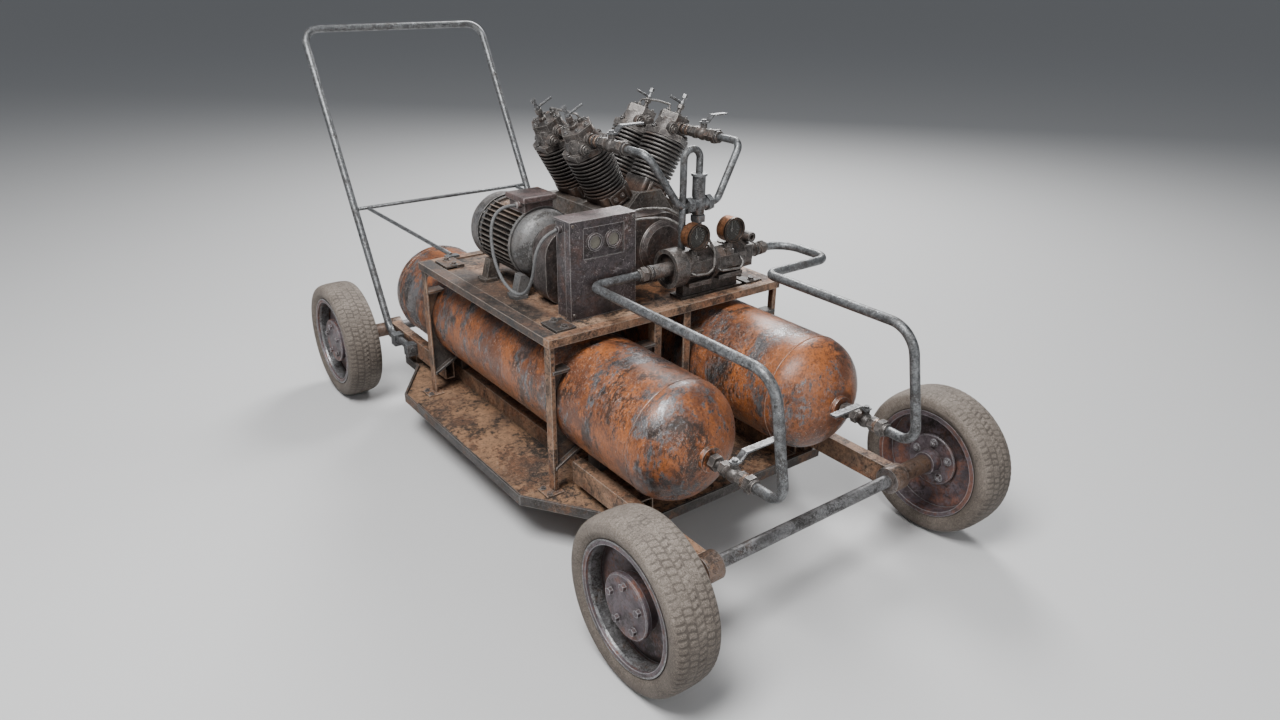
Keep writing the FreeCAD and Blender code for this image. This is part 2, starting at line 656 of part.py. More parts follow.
def xz_rim(centre, radius, angle):
    """A point on a circle in an X-Z plane."""
    return centre + V(math.cos(angle), 0, math.sin(angle)) * radius


def belt_loop(shrink):
    """The outline round both pulleys: two arcs and two tangent runs, as a closed wire in the X-Z plane."""
    r_left, r_right = MOTOR_PULLEY_R - shrink, FLYWHEEL_R - shrink
    left, right = V(MOTOR_X, 0, MOTOR_Z), V(CRANK_X, 0, CRANK_Z)
    span = right - left
    tilt = math.atan2(span.z, span.x)
    spread = math.acos((r_left - r_right) / span.Length)

    up, down = tilt + spread, tilt - spread
    left_up, left_down = xz_rim(left, r_left, up), xz_rim(left, r_left, down)
    right_up, right_down = xz_rim(right, r_right, up), xz_rim(right, r_right, down)
    return Part.Wire([
        Part.LineSegment(left_up, right_up).toShape(),
        Part.Arc(right_up, xz_rim(right, r_right, tilt), right_down).toShape(),
        Part.LineSegment(right_down, left_down).toShape(),
        Part.Arc(left_down, xz_rim(left, r_left, tilt + math.pi), left_up).toShape()])


def drive_belt():
    """A closed belt that lies in both grooves with a hair of clearance."""
    y_mid = (PULLEY_Y0 + PULLEY_Y1) / 2
    outer = Part.Face(belt_loop(0.5)).extrude(V(0, 7, 0))
    inner = Part.Face(belt_loop(BELT_DEPTH)).extrude(V(0, 7, 0))
    belt = outer.cut(inner)
    belt.translate(V(0, y_mid - 3.5, 0))
    return belt


def guard_outline(inset):
    """An arch over both pulleys that stands on the deck, rounded at its lower left corner."""
    r_left, r_right = GUARD_R_LEFT - inset, GUARD_R_RIGHT - inset
    left, right = V(MOTOR_X, 0, MOTOR_Z), V(CRANK_X, 0, CRANK_Z)
    span = right - left
    tilt = math.atan2(span.z, span.x)
    up = tilt + math.acos((r_left - r_right) / span.Length)

    corner = GUARD_CORNER - inset
    top_left, top_right = xz_rim(left, r_left, up), xz_rim(right, r_right, up)
    far_left, far_right = xz_rim(left, r_left, math.pi), xz_rim(right, r_right, 0)
    foot = DECK_TOP + inset
    turn = V(far_left.x + corner, 0, foot + corner)
    wall_end, floor_start = xz_rim(turn, corner, math.pi), xz_rim(turn, corner, 1.5 * math.pi)
    foot_right = V(far_right.x, 0, foot)
    return Part.Face(Part.Wire([
        Part.LineSegment(wall_end, far_left).toShape(),
        Part.Arc(far_left, xz_rim(left, r_left, (math.pi + up) / 2), top_left).toShape(),
        Part.LineSegment(top_left, top_right).toShape(),
        Part.Arc(top_right, xz_rim(right, r_right, up / 2), far_right).toShape(),
        Part.LineSegment(far_right, foot_right).toShape(),
        Part.LineSegment(foot_right, floor_start).toShape(),
        Part.Arc(floor_start, xz_rim(turn, corner, 1.25 * math.pi), wall_end).toShape()]))


def belt_guard():
    """A sheet guard, open at the back, with a raised round boss in front of the flywheel."""
    outer = guard_outline(0).extrude(V(0, GUARD_Y1 - GUARD_Y0, 0))
    outer.translate(V(0, GUARD_Y0, 0))
    hollow = guard_outline(GUARD_T).extrude(V(0, GUARD_Y1 - GUARD_Y0, 0))
    hollow.translate(V(0, GUARD_Y0 + GUARD_T, 0))
    dome = revolve([(0, 0), (0, 48), (6, 58), (12, 60), (12, 0)], V(CRANK_X, GUARD_Y0 - 11, CRANK_Z), Y_AXIS)
    return outer.fuse(dome).cut(hollow).removeSplitter()


# ---- compressor ----
def to_bank(shape, side, y):
    """Put a shape made along +Z from the crank onto one cylinder of a leaning bank."""
    placed = shape.copy()
    placed.rotate(V(0, 0, 0), Y_AXIS, side * BANK_ANGLE)
    placed.translate(V(CRANK_X, y, CRANK_Z))
    return placed


def crankcase():
    """A cast box with two sloping faces for the cylinder banks, hollow for the crankshaft."""
    lean = math.radians(BANK_ANGLE)
    face_x, face_z = BARREL_BASE * math.sin(lean), BARREL_BASE * math.cos(lean)
    out_x, out_z = face_x + 46 * math.cos(lean), face_z - 46 * math.sin(lean)
    half = [(74, DECK_TOP - CRANK_Z), (74, -52), (106, -18), (106, 50), (out_x, out_z)]
    peak = (0, face_z + face_x * math.tan(lean))
    outline = half + [peak] + [(-x, z) for x, z in reversed(half)]
    body = xz_prism([(CRANK_X + x, CRANK_Z + z) for x, z in outline], CRANKCASE_Y0, CRANKCASE_Y1)
    shoulder = box(106, 114, CRANKCASE_Y0, CRANKCASE_Y1, 44, 80)
    shoulder = shoulder.fuse(box(84, 114, CRANKCASE_Y0, CRANKCASE_Y1, 52, 80)).removeSplitter()
    for side in SIDES:
        rail = shoulder if side > 0 else mirrored(shoulder)
        rail.translate(V(CRANK_X, 0, CRANK_Z))
        body = body.fuse(rail)
    gable = [(-82, 50), (-20, 112), (40, 112), (82, 50), (60, -40), (-60, -40)]
    gable_outline = [(CRANK_X + x, CRANK_Z + z) for x, z in gable]
    body = body.fuse(xz_prism(gable_outline, CRANKCASE_Y0 - 10, CRANKCASE_Y0))
    foot = box(CRANK_X - 96, CRANK_X + 96, CRANKCASE_Y0 + 10, CRANKCASE_Y1 - 10, DECK_TOP, DECK_TOP + 12)
    body = body.fuse(foot)
    hollow = cyl(V(CRANK_X, CRANKCASE_Y0 + 8, CRANK_Z), Y_AXIS, 62, CRANKCASE_Y1 - CRANKCASE_Y0 - 16)
    body = body.cut(hollow)
    for y in CYLINDER_YS:
        for side in SIDES:
            body = body.cut(to_bank(cyl(V(0, 0, 0), Z_AXIS, BORE_R, BARREL_BASE + 40), side, y))
            body = body.cut(to_bank(box(-39, 39, -43, 39, BARREL_BASE, FINS_START), side, y))
    gap = MOTOR_SHAFT_R + 3 + RUNNING_GAP
    return body.cut(cyl(V(CRANK_X, CRANKCASE_Y0 - 12, CRANK_Z), Y_AXIS, gap, 60)).removeSplitter()


def crankshaft():
    """A crankshaft with two throws, whose front end carries the flywheel."""
    journal_r = MOTOR_SHAFT_R + 3
    front_end = PULLEY_Y0 - 4
    journal = cyl(V(0, front_end, 0), Y_AXIS, journal_r, CYLINDER_YS[0] - 22 - front_end)
    middle = cyl(V(0, CYLINDER_YS[0] + 16, 0), Y_AXIS, journal_r, CYLINDER_YS[1] - CYLINDER_YS[0] - 32)
    solids = [journal, middle]
    for y, up in zip(CYLINDER_YS, (1, -1)):
        solids.append(cyl(V(0, y - 20, up * CRANK_THROW), Y_AXIS, 9, 40))
        for web_y in (y - 22, y + 14):
            web = [(-16, -30 * up), (16, -30 * up), (12, 28 * up), (-12, 28 * up)]
            solids.append(xz_prism(web, web_y, web_y + 8))
    shaft = fuse(solids)
    shaft.translate(V(CRANK_X, 0, CRANK_Z))
    return shaft


def cylinder_barrel(side, y):
    """A finned cylinder on a square foot with a cover on its front."""
    foot = box(-39, 39, -39, 39, BARREL_BASE, FINS_START)
    foot = foot.makeFillet(8, [e for e in foot.Edges if abs(e.tangentAt(e.FirstParameter).z) > 0.9])
    sleeve = cyl(V(0, 0, FINS_START), Z_AXIS, BARREL_R, HEAD_START - FINS_START)
    solids = [foot, sleeve]
    pitch = (HEAD_START - FINS_START) / FIN_COUNT
    for k in range(FIN_COUNT):
        solids.append(cyl(V(0, 0, FINS_START + 3 + k * pitch), Z_AXIS, FIN_R - 5 * (1 - k / FIN_COUNT), 3.6))
    cover = box(-24, 24, -43, -38, BARREL_BASE + 4, FINS_START - 3)
    solids.append(cover)
    bore = cyl(V(0, 0, BARREL_BASE - 1), Z_AXIS, BORE_R, HEAD_START - BARREL_BASE + 2)
    return to_bank(fuse(solids).cut(bore), side, y)


def cylinder_head(side, y):
    """A hexagonal head plate with a domed block, a front boss and a top plug."""
    plate = hexagon(V(0, 0, HEAD_START), Z_AXIS, 92, 14, 30)
    block = Part.makeCone(42, 34, 30, V(0, 0, HEAD_START + 14), Z_AXIS)
    lid = hexagon(V(0, 0, HEAD_START + 40), Z_AXIS, 66, HEAD_END - HEAD_START - 40)
    boss = cyl(V(0, 0, HEAD_START + 32), Y_AXIS * -1, 13, 44)
    solids = [plate, block, lid, boss]
    if y == CYLINDER_YS[1]:
        solids.append(cyl(V(0, -20, HEAD_START + 32), Y_AXIS * -1, 9, 30))
    return to_bank(fuse(solids), side, y)


def piston_and_rod(side, y):
    """A piston at mid stroke with its rod, which ends just outside the crank's sweep."""
    crown = cyl(V(0, 0, 168), Z_AXIS, BORE_R - RUNNING_GAP, 36)
    rod = box(-6, 6, -5, 5, CRANK_THROW + 34, 170)
    return to_bank(fuse([crown, rod]), side, y)


VALVE_OFFSET = 6.0
STEM_TOP = HEAD_END + 53.0


def head_valve(side, y):
    """A small tap on a head: a stem with a hexagon base, a body and a cap above the handle."""
    x = side * VALVE_OFFSET
    base = hexagon(V(x, 0, HEAD_END), Z_AXIS, 16, 8)
    neck = cyl(V(x, 0, HEAD_END + 6), Z_AXIS, 5, 16)
    body = hexagon(V(x, 0, HEAD_END + 18), Z_AXIS, 15, 10)
    return to_bank(fuse([base, neck, body]), side, y)


def head_handle(side, y):
    """A tap's handle: a threaded spindle with a cap and a thin bar to one side."""
    x = side * VALVE_OFFSET
    start = HEAD_END + 28.3
    hub = cyl(V(x, 0, start), Z_AXIS, 6.5, 7)
    spindle = cyl(V(x, 0, start + 6), Z_AXIS, 3.5, STEM_TOP - start - 12)
    cap = hexagon(V(x, 0, STEM_TOP - 9), Z_AXIS, 11, 9)
    bar = cyl(V(x, 0, start + 3.5), X_AXIS * -side, 2.8, 42)
    return to_bank(fuse([hub, spindle, cap, bar]), side, y)


# ---- air lines ----
BANK_DX = (HEAD_START + 32) * math.sin(math.radians(BANK_ANGLE))
HEAD_PORT_Z = CRANK_Z + (HEAD_START + 32) * math.cos(math.radians(BANK_ANGLE))
HEAD_PORT_Y = CYLINDER_YS[0] - 44.0
DISCHARGE_VALVE_Y = HEAD_PORT_Y - 72.0
TANK_VALVE_Y = TANK_FRONT_Y - 66.0
LEVER_RISE = 14.0


def valve_centres():
    """Each ball valve's name, its centre, and which way its lever points."""
    return {
        "tank_lever_left": (V(-TANK_X, TANK_VALVE_Y, TANK_Z), 1),
        "tank_lever_right": (V(TANK_X, TANK_VALVE_Y, TANK_Z), -1),
        "discharge_lever_left": (V(CRANK_X - BANK_DX, DISCHARGE_VALVE_Y, HEAD_PORT_Z), 1),
        "discharge_lever_right": (V(CRANK_X + BANK_DX, DISCHARGE_VALVE_Y, HEAD_PORT_Z), 1)}


def valve_body(centre):
    """A ball valve along Y: a round middle, two hexagon ends and a stem housing with a blind bore."""
    middle = Part.makeSphere(15, centre)
    barrel = cyl(centre + V(0, -20, 0), Y_AXIS, 12, 40)
    ends = [hexagon(centre + V(0, -28, 0), Y_AXIS, 25, 12), hexagon(centre + V(0, 16, 0), Y_AXIS, 25, 12)]
    neck = cyl(centre, Z_AXIS, 7.5, 22)
    stem_bore = cyl(centre, Z_AXIS, 4 + RUNNING_GAP, 30)
    return fuse([middle, barrel, neck] + ends).cut(stem_bore)


def valve_lever(centre, toward, length):
    """A valve's stem, nut and flat cranked lever."""
    stem = cyl(centre + V(0, 0, 1), Z_AXIS, 4, 27)
    top = centre.z + 22.3
    hub = cyl(V(centre.x, centre.y, top), Z_AXIS, 8, 4)
    nut = hexagon(V(centre.x, centre.y, top + 3.5), Z_AXIS, 10, 5)
    half, thick = 7.0, 3.5
    lower = [(-8, 0), (10, 0), (24, LEVER_RISE), (length, LEVER_RISE)]
    upper = [(length, LEVER_RISE + thick), (22, LEVER_RISE + thick), (8, thick), (-8, thick)]
    corners = [V(centre.x + toward * x, centre.y - half, top + z) for x, z in lower + upper]
    blade = prism(corners, V(0, 2 * half, 0))
    return fuse([stem, hub, nut, blade])


LEVER_LENGTHS = {"tank_lever_left": 96, "tank_lever_right": 96, "discharge_lever_left": 78,
                 "discharge_lever_right": 62}


def ball_valve_bodies():
    """The four ball valves' bodies with the short nipples that join them to the tanks and heads."""
    solids = []
    for name, (centre, _) in valve_centres().items():
        body = valve_body(centre)
        if name.startswith("tank"):
            nipple = cyl(centre + V(0, 26, 0), Y_AXIS, DISCHARGE_R, TANK_FRONT_Y + 14 - centre.y - 26)
            nut = hexagon(V(centre.x, TANK_FRONT_Y - 26, centre.z), Y_AXIS, 27, 14)
            lines = [nipple, nut]
        else:
            nipple = cyl(centre + V(0, 26, 0), Y_AXIS, DISCHARGE_R, HEAD_PORT_Y - centre.y - 26)
            lines = [nipple, hexagon(centre + V(0, 32, 0), Y_AXIS, 22, 9),
                     cyl(centre + V(0, 46, 0), Y_AXIS * -1, 10.5, 4)]
        solids.append(fuse([body] + lines))
    return solids


PIPE_LOW = V(0, FRONT_AXLE_Y - 92.0, TANK_Z)
PIPE_HIGH = V(0, FRONT_AXLE_Y - 52.0, REG_Z)
REG_LEFT_X, REG_RIGHT_X = -30.0, 275.0
PIPE_END_Y = TANK_VALVE_Y - 44.0


def supply_pipe_left():
    """From the regulator's left port, forward over the left tank and down to its valve."""
    x = -TANK_X
    points = [V(REG_LEFT_X - 14, REG_Y, REG_Z), V(x, REG_Y, REG_Z), at_x(PIPE_HIGH, x), at_x(PIPE_LOW, x),
              V(x, PIPE_END_Y, TANK_Z)]
    return pipe(points, [26, 60, 30], PIPE_R)


def supply_pipe_right():
    """From the regulator's right port, out and back in a loop, then forward and down to the right valve."""
    x, out, near = TANK_X, 356.0, DECK_FRONT_Y - 90.0
    points = [V(REG_RIGHT_X + 14, REG_Y, REG_Z), V(out, REG_Y, REG_Z), V(out, near, REG_Z), V(x, near, REG_Z),
              at_x(PIPE_HIGH, x), at_x(PIPE_LOW, x), V(x, PIPE_END_Y, TANK_Z)]
    return pipe(points, [58, 34, 24, 60, 30], PIPE_R)


DISCHARGE_END_Y = DISCHARGE_VALVE_Y - 44.0


def discharge_pipe(side):
    """From a head's valve, forward, then down and in to the tee."""
    x = CRANK_X + side * BANK_DX
    points = [V(x, DISCHARGE_END_Y, HEAD_PORT_Z), V(x, REG_Y + 6, HEAD_PORT_Z),
              V(COLUMN_X + side * 52, REG_Y, TEE_Z + 2), V(COLUMN_X + side * 30, REG_Y, TEE_Z)]
    return pipe(points, [22, 20], DISCHARGE_R)


def discharge_pipes():
    """Both discharge pipes."""
    return [discharge_pipe(side) for side in SIDES]


def union(centre, axis):
    """A union nut: a wide hexagon between two rings."""
    return fuse([hexagon(centre - axis * 6, axis, 29, 12), cyl(centre - axis * 13, axis, 12.5, 26)])


def pipe_unions():
    """The union nuts where the bent pipes meet the valves and the regulator."""
    solids = []
    for name, (centre, _) in valve_centres().items():
        radius = PIPE_R if name.startswith("tank") else DISCHARGE_R
        outer = union(centre + V(0, -41, 0), Y_AXIS)
        end_y = PIPE_END_Y if name.startswith("tank") else DISCHARGE_END_Y
        solids.append(outer.cut(cyl(V(centre.x, end_y, centre.z), Y_AXIS * -1, radius, 60)))
    for x, axis in ((REG_LEFT_X, X_AXIS * -1), (REG_RIGHT_X, X_AXIS)):
        nut = union(V(x, REG_Y, REG_Z) + axis * 13, axis)
        solids.append(nut.cut(cyl(V(x, REG_Y, REG_Z) + axis * 14, axis, PIPE_R, 60)))
    return solids


LEG_X, LEG_R = COLUMN_X - 42, 7.5


def manifold():
    """The tee where both discharge pipes meet, the check valve above it and the gooseneck beside it."""
    run = cyl(V(COLUMN_X - 30, REG_Y, TEE_Z), X_AXIS, 13, 60)
    tee = [run, cyl(V(COLUMN_X, REG_Y, TEE_Z - 20), Z_AXIS, 13, 40)]
    for side in SIDES:
        tee.append(hexagon(V(COLUMN_X + side * 20, REG_Y, TEE_Z), X_AXIS * side, 30, 12))
    column = cyl(V(COLUMN_X, REG_Y, REG_Z + COLUMN_FOOT), Z_AXIS, 9, TEE_Z - REG_Z - COLUMN_FOOT)
    collar = hexagon(V(COLUMN_X, REG_Y, TEE_Z - 36), Z_AXIS, 28, 14)
    valve = cyl(V(COLUMN_X, REG_Y, TEE_Z + 16), Z_AXIS, 14, 48)
    check = [valve, cyl(V(COLUMN_X, REG_Y, TEE_Z + 60), Z_AXIS, 17, 5)]
    top = TEE_Z + 116
    arch = pipe([V(COLUMN_X, REG_Y, TEE_Z + 60), V(COLUMN_X, REG_Y, top), V(LEG_X, REG_Y, top),
                 V(LEG_X, REG_Y, REG_Z + COLUMN_FOOT + 0.2)], [20.5, 20.5], LEG_R)
    body = fuse(tee + [column, collar] + check + [arch])
    return body.cut(discharge_pipe(-1)).cut(discharge_pipe(1))


# ---- regulator and gauges ----
def reg_point(x):
    """A point on the regulator's axis."""
    return V(x, REG_Y, REG_Z)


def octagon(x0, x1, across):
    """An eight-sided bar along the regulator's axis, flat side down."""
    radius = across / 2 / math.cos(math.pi / 8)
    angles = [math.pi * (k + 0.5) / 4 for k in range(8)]
    corners = [V(x0, REG_Y + radius * math.cos(angle), REG_Z + radius * math.sin(angle)) for angle in angles]
    return prism(corners, V(x1 - x0, 0, 0))


def reg_chamber(x0, x1, across, boss_x):
    """A faceted chamber with bottom ledges, a boss on top and a bracket that carries a gauge."""
    low = REG_Z - across / 2
    ledge = box(x0 + 6, x1 - 6, REG_Y - across / 2 + 2, REG_Y + across / 2 - 2, low - 5, low + 4)
    boss = cyl(V(boss_x, REG_Y, REG_Z), Z_AXIS, 17, COLUMN_FOOT)
    gauge_x = GAUGE_XS[0] if x0 < COLUMN_X else GAUGE_XS[1]
    stem = cyl(V(gauge_x, GAUGE_BACK_Y - 12, REG_Z + 18), Z_AXIS, 6, GAUGE_Z - GAUGE_R - REG_Z - 18)
    arm = box(gauge_x - 9, gauge_x + 9, GAUGE_BACK_Y - 20, REG_Y, REG_Z + 14, REG_Z + 26)
    return fuse([octagon(x0, x1, across), ledge, boss, stem, arm])


def regulator_body():
    """A regulator on a narrow stand: an inlet bell, two chambers with a ring between, and an outlet."""
    inlet_outline = [(0, 0), (0, 15), (58, 15), (58, 33), (58, 42), (80, 42), (80, 0)]
    inlet = revolve(inlet_outline, reg_point(REG_LEFT_X), X_AXIS)
    inlet = inlet.fuse(ring(reg_point(18), X_AXIS, 42, 33, 10.5)).removeSplitter()
    ring_band = cyl(reg_point(122), X_AXIS, 40, 12)
    outlet = [cyl(reg_point(214), X_AXIS, 33, 20), cyl(reg_point(232), X_AXIS, 15, REG_RIGHT_X - 232)]
    outlet += [box(216, 240, REG_Y - 26, REG_Y + 26, REG_Z - 24, REG_Z + 24)]
    outlet += [cyl(V(OUTLET_X, REG_Y, REG_Z + 20), Z_AXIS, 11, 30)]
    outlet += [cyl(V(OUTLET_X, REG_Y, OUTLET_Z), Y_AXIS * -1, 11, 34)]
    outlet = fuse(outlet).cut(cyl(V(OUTLET_X, REG_Y - 35, OUTLET_Z), Y_AXIS, OUTLET_R, 13))
    first = reg_chamber(50, 122, 70, COLUMN_X)
    second = reg_chamber(134, 214, 66, 180)
    foot = box(46, 220, REG_Y - 20, REG_Y + 20, DECK_TOP, DECK_TOP + 6)
    half, top = 12.0, REG_Z - 39
    stand = fuse([foot, box(56, 210, REG_Y - half, REG_Y + half, DECK_TOP + 2, top)])
    saddles = [box(x0, x1, REG_Y - half, REG_Y + half, top, top + 5) for x0, x1 in ((60, 118), (140, 208))]
    stand = stand.multiFuse(saddles).removeSplitter().cut(first).cut(second)
    return [inlet, first, ring_band, second, outlet] + stand.Solids


def gauge_cases():
    """Two round gauge cases, open at the front, each with a bezel ring and a dial plate."""
    solids = []
    for x in GAUGE_XS:
        centre = V(x, GAUGE_FACE_Y, GAUGE_Z)
        shell = cyl(centre, Y_AXIS, GAUGE_R, GAUGE_BACK_Y - GAUGE_FACE_Y)
        bezel = cyl(centre, Y_AXIS, GAUGE_R + 1.5, 6)
        hollow = cyl(centre - Y_AXIS, Y_AXIS, GAUGE_R - 3, 13)
        pin = cyl(centre + V(0, 9, 0), Y_AXIS, 1.5, 4)
        solids.append(fuse([shell, bezel]).cut(hollow).fuse(pin).removeSplitter())
    return solids


def gauge_needle(x):
    """A pointer with a hub that turns on the dial's pin; at rest it points straight up, at mid scale."""
    hub = ring(V(x, GAUGE_FACE_Y + 9.6, GAUGE_Z), Y_AXIS, 3.2, 1.5 + RUNNING_GAP, 1.6)
    blade = xz_prism([(-1.3, -5), (1.3, -5), (0.5, 19), (-0.5, 19)], 0, 1)
    blade.translate(V(x, GAUGE_FACE_Y + 9.9, GAUGE_Z))
    return fuse([hub, blade]).cut(cyl(V(x, GAUGE_FACE_Y, GAUGE_Z), Y_AXIS, 1.5 + RUNNING_GAP, 20))


METER_XS = (BOX_X0 + 55, BOX_X0 + 99)
METER_Z = BOX_TOP - 47


def gauge_glasses():
    """The windows of the two gauges and of the two panel meters."""
    panes = [cyl(V(x, GAUGE_FACE_Y + 4, GAUGE_Z), Y_AXIS, GAUGE_R - 3.05, 2) for x in GAUGE_XS]
    panes += [cyl(V(x, BOX_Y0 - 1.5, METER_Z), Y_AXIS, METER_GLASS_R, 2) for x in METER_XS]
    return panes


# ---- control box ----
BOX_GLAND_TIP = V(BOX_X0 - 10, BOX_Y1 - BOX_GLAND_BACK, BOX_TOP - 21)


def control_box():
    """The box's sheet body, open towards its cover, with a cable gland on each side."""
    y0 = BOX_Y0 + BOX_COVER_T
    body = box(BOX_X0, BOX_X1, y0, BOX_Y1, DECK_TOP, BOX_TOP - 4)
    body = body.cut(box(BOX_X0 + 3, BOX_X1 - 3, y0 - 1, BOX_Y1 - 3, DECK_TOP + 3, BOX_TOP - 7))
    left = cyl(BOX_GLAND_TIP + V(11, 0, 0), X_AXIS * -1, 7.5, 10)
    rights = [cyl(V(BOX_X1 - 1, BOX_Y1 - back, BOX_TOP - drop), X_AXIS, 5, 14) for back, drop in SENSE_PORTS]
    return fuse([body, left] + rights)


def control_cover():
    """The box's screwed front cover with a recessed meter panel, and a folded top edge."""
    front = box(BOX_X0 - 3, BOX_X1 + 3, BOX_Y0, BOX_Y0 + BOX_COVER_T, DECK_TOP, BOX_TOP)
    cover_back = BOX_Y0 + BOX_COVER_T + 1
    front = front.cut(box(BOX_X0 + 2, BOX_X1 - 2, BOX_Y0 + 6, cover_back, DECK_TOP + 3, BOX_TOP - 3))
    panel = box(METER_XS[0] - 26, METER_XS[1] + 26, BOX_Y0 - 1, BOX_Y0 + 3, METER_Z - 32, METER_Z + 30)
    top = box(BOX_X0 - 3, BOX_X1 + 3, BOX_Y0 + BOX_COVER_T, BOX_Y1 + 3, BOX_TOP - 4, BOX_TOP)
    inner = METER_GLASS_R + 0.05
    bezels = [ring(V(x, BOX_Y0 - 4, METER_Z), Y_AXIS, METER_R, inner, 8) for x in METER_XS]
    backs = [cyl(V(x, BOX_Y0 + 0.5, METER_Z), Y_AXIS, inner, 4) for x in METER_XS]
    return fuse([front.cut(panel), top] + bezels + backs)


def sensing_tubes():
    """Two thin tubes that arch from the control box to the gooseneck."""
    leg = cyl(V(LEG_X, REG_Y, TEE_Z - 60), Z_AXIS, LEG_R, 80)
    tubes = []
    for (back, drop), rise, fall in zip(SENSE_PORTS, (3.0, 0.0), (12.0, 14.0)):
        start = V(BOX_X1 + 13, BOX_Y1 - back, BOX_TOP - drop)
        level = start.z + rise
        bend = V(LEG_X - 20, REG_Y + 26, level)
        tube = pipe([start, start + V(46, -2, rise), bend, V(LEG_X, REG_Y, level - fall)], [60, 40], SENSE_R)
        tubes.append(tube.cut(leg))
    return tubes


def drain_tubes():
    """Two thin tubes before the regulator, one to its first gauge and one between its chambers."""
    front = REG_Y - 35.0
    to_gauge = [V(58, front, REG_Z - 8), V(66, front - 8, REG_Z - 11), V(98, front - 8, REG_Z - 13),
                V(114, front - 8, REG_Z - 4), V(114, front - 8, REG_Z + 32), V(104, front, REG_Z + 58),
                V(GAUGE_XS[0] + GAUGE_R, front + 4, GAUGE_Z - 2)]
    to_outlet = [V(128, front - 4, REG_Z - 8), V(134, front - 10, REG_Z - 13), V(190, front - 10, REG_Z - 17),
                 V(197, front - 9, REG_Z - 4), V(196, front + 2, REG_Z + 6)]
    gauge = cyl(V(GAUGE_XS[0], GAUGE_FACE_Y, GAUGE_Z), Y_AXIS, GAUGE_R + 1.5, GAUGE_BACK_Y - GAUGE_FACE_Y)
    first = pipe(to_gauge, [8, 12, 12, 14, 12], DRAIN_R).cut(gauge)
    second = pipe(to_outlet, [8, 8, 8], DRAIN_R)
    for chamber in regulator_body()[:5]:
        first = first.cut(chamber)
        second = second.cut(chamber)
    return first.Solids + second.Solids


# ---- motor cable ----
GLAND_TIP = V(MOTOR_X - 54, MOTOR_FINS_Y0 + 4, MOTOR_Z + 88)
CABLE_ROUTE = [
    GLAND_TIP, V(-223, -103, 637), V(-243, -104, 632), V(-259, -107, 618), V(-268, -112, 597),
    V(-272, -118, 571), V(-273, -126, 543), V(-271, -136, 517), V(-267, -149, 495), V(-262, -166, 481),
    V(-258, -186, 475), V(-255, -207, 479), V(-255, -227, 492), V(-256, -245, 512), V(-258, -260, 536),
    V(-261, -272, 561), V(-262, -281, 586), V(-254, -286, 608), V(-238, -287, 622), BOX_GLAND_TIP]


def motor_cable():
    """The lead that hangs from the terminal box to the control box."""
    radii = cord_radii(CABLE_ROUTE)
    tube = pipe(CABLE_ROUTE, radii, CABLE_R)
    path = route_wire(CABLE_ROUTE, radii)
    print("cable radii", [round(r) for r in radii], "length", round(path.Length))
    print("cable volume share", round(tube.Volume / (math.pi * CABLE_R ** 2 * path.Length), 3))
    return tube


# ---- all sub-parts ----
def main():
    """Writes one file for each node."""
    save("base_plate", base_plate())
    save("base_rim", base_rim())
    save("frame_beams", frame_beams())
    save("front_axle", axle(FRONT_AXLE_Y))
    save("rear_axle", axle(REAR_AXLE_Y))
    save("deck_posts", deck_posts())
    save("tank_cradles", tank_cradles())
    save("deck_plate", deck_plate())
    save("deck_rails", deck_rails())
    save("corner_plates", corner_gussets() + frame_bolts())
    save("tank_left", tank(-1))
    save("tank_right", tank(1))
    for name, (side, y) in WHEEL_CENTRES.items():
        centre, axis = V(side * TRACK / 2, y, AXLE_Z), X_AXIS * side
        save(name + "_tyre", tyre(centre, axis))
        save(name + "_wheel", wheel(centre, axis))
    save("handle_tube", handle_tube())
    save("handle_crossbar", handle_crossbar())
    save("handle_brackets", handle_brackets())
    save("motor_housing", motor_housing())
    save("motor_fan_cover", motor_fan_cover())
    save("motor_rotor", motor_rotor())
    save("motor_pulley", pulley(MOTOR_X, MOTOR_Z, MOTOR_PULLEY_R, MOTOR_SHAFT_R))
    save("terminal_box", terminal_box())
    save("flywheel", flywheel())
    save("drive_belt", drive_belt())
    save("belt_guard", belt_guard())
    save("crankcase", crankcase())
    save("crankshaft", crankshaft())
    places = [(side, y) for side in SIDES for y in CYLINDER_YS]
    save("cylinder_barrels", [cylinder_barrel(side, y) for side, y in places])
    save("cylinder_heads", [cylinder_head(side, y) for side, y in places])
    save("pistons", [piston_and_rod(side, y) for side, y in places])
    save("head_valves", [head_valve(side, y) for side, y in places])
    for side, side_name in ((-1, "left"), (1, "right")):
        for y, end_name in zip(CYLINDER_YS, ("front", "rear")):
            save("head_handle_" + end_name + "_" + side_name, head_handle(side, y))
    for name, (centre, toward) in valve_centres().items():
        save(name, valve_lever(centre, toward, LEVER_LENGTHS[name]))
    save("ball_valve_bodies", ball_valve_bodies())
    save("supply_pipe_left", supply_pipe_left())
    save("supply_pipe_right", supply_pipe_right())
    save("discharge_pipes", discharge_pipes())
    save("pipe_unions", pipe_unions())
    save("manifold", manifold())
    save("regulator_body", regulator_body())
    save("gauge_cases", gauge_cases())
    save("gauge_needle_left", gauge_needle(GAUGE_XS[0]))
    save("gauge_needle_right", gauge_needle(GAUGE_XS[1]))
    save("gauge_glasses", gauge_glasses())
    save("control_box", control_box())
    save("control_cover", control_cover())
    save("sensing_tubes", sensing_tubes() + drain_tubes())
    save("motor_cable", motor_cable())


main()
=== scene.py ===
"""The looks of a four-wheeled hand-cart air compressor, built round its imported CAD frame."""

import json
import math
import random

import bmesh
import bpy
from mathutils import Matrix, Vector


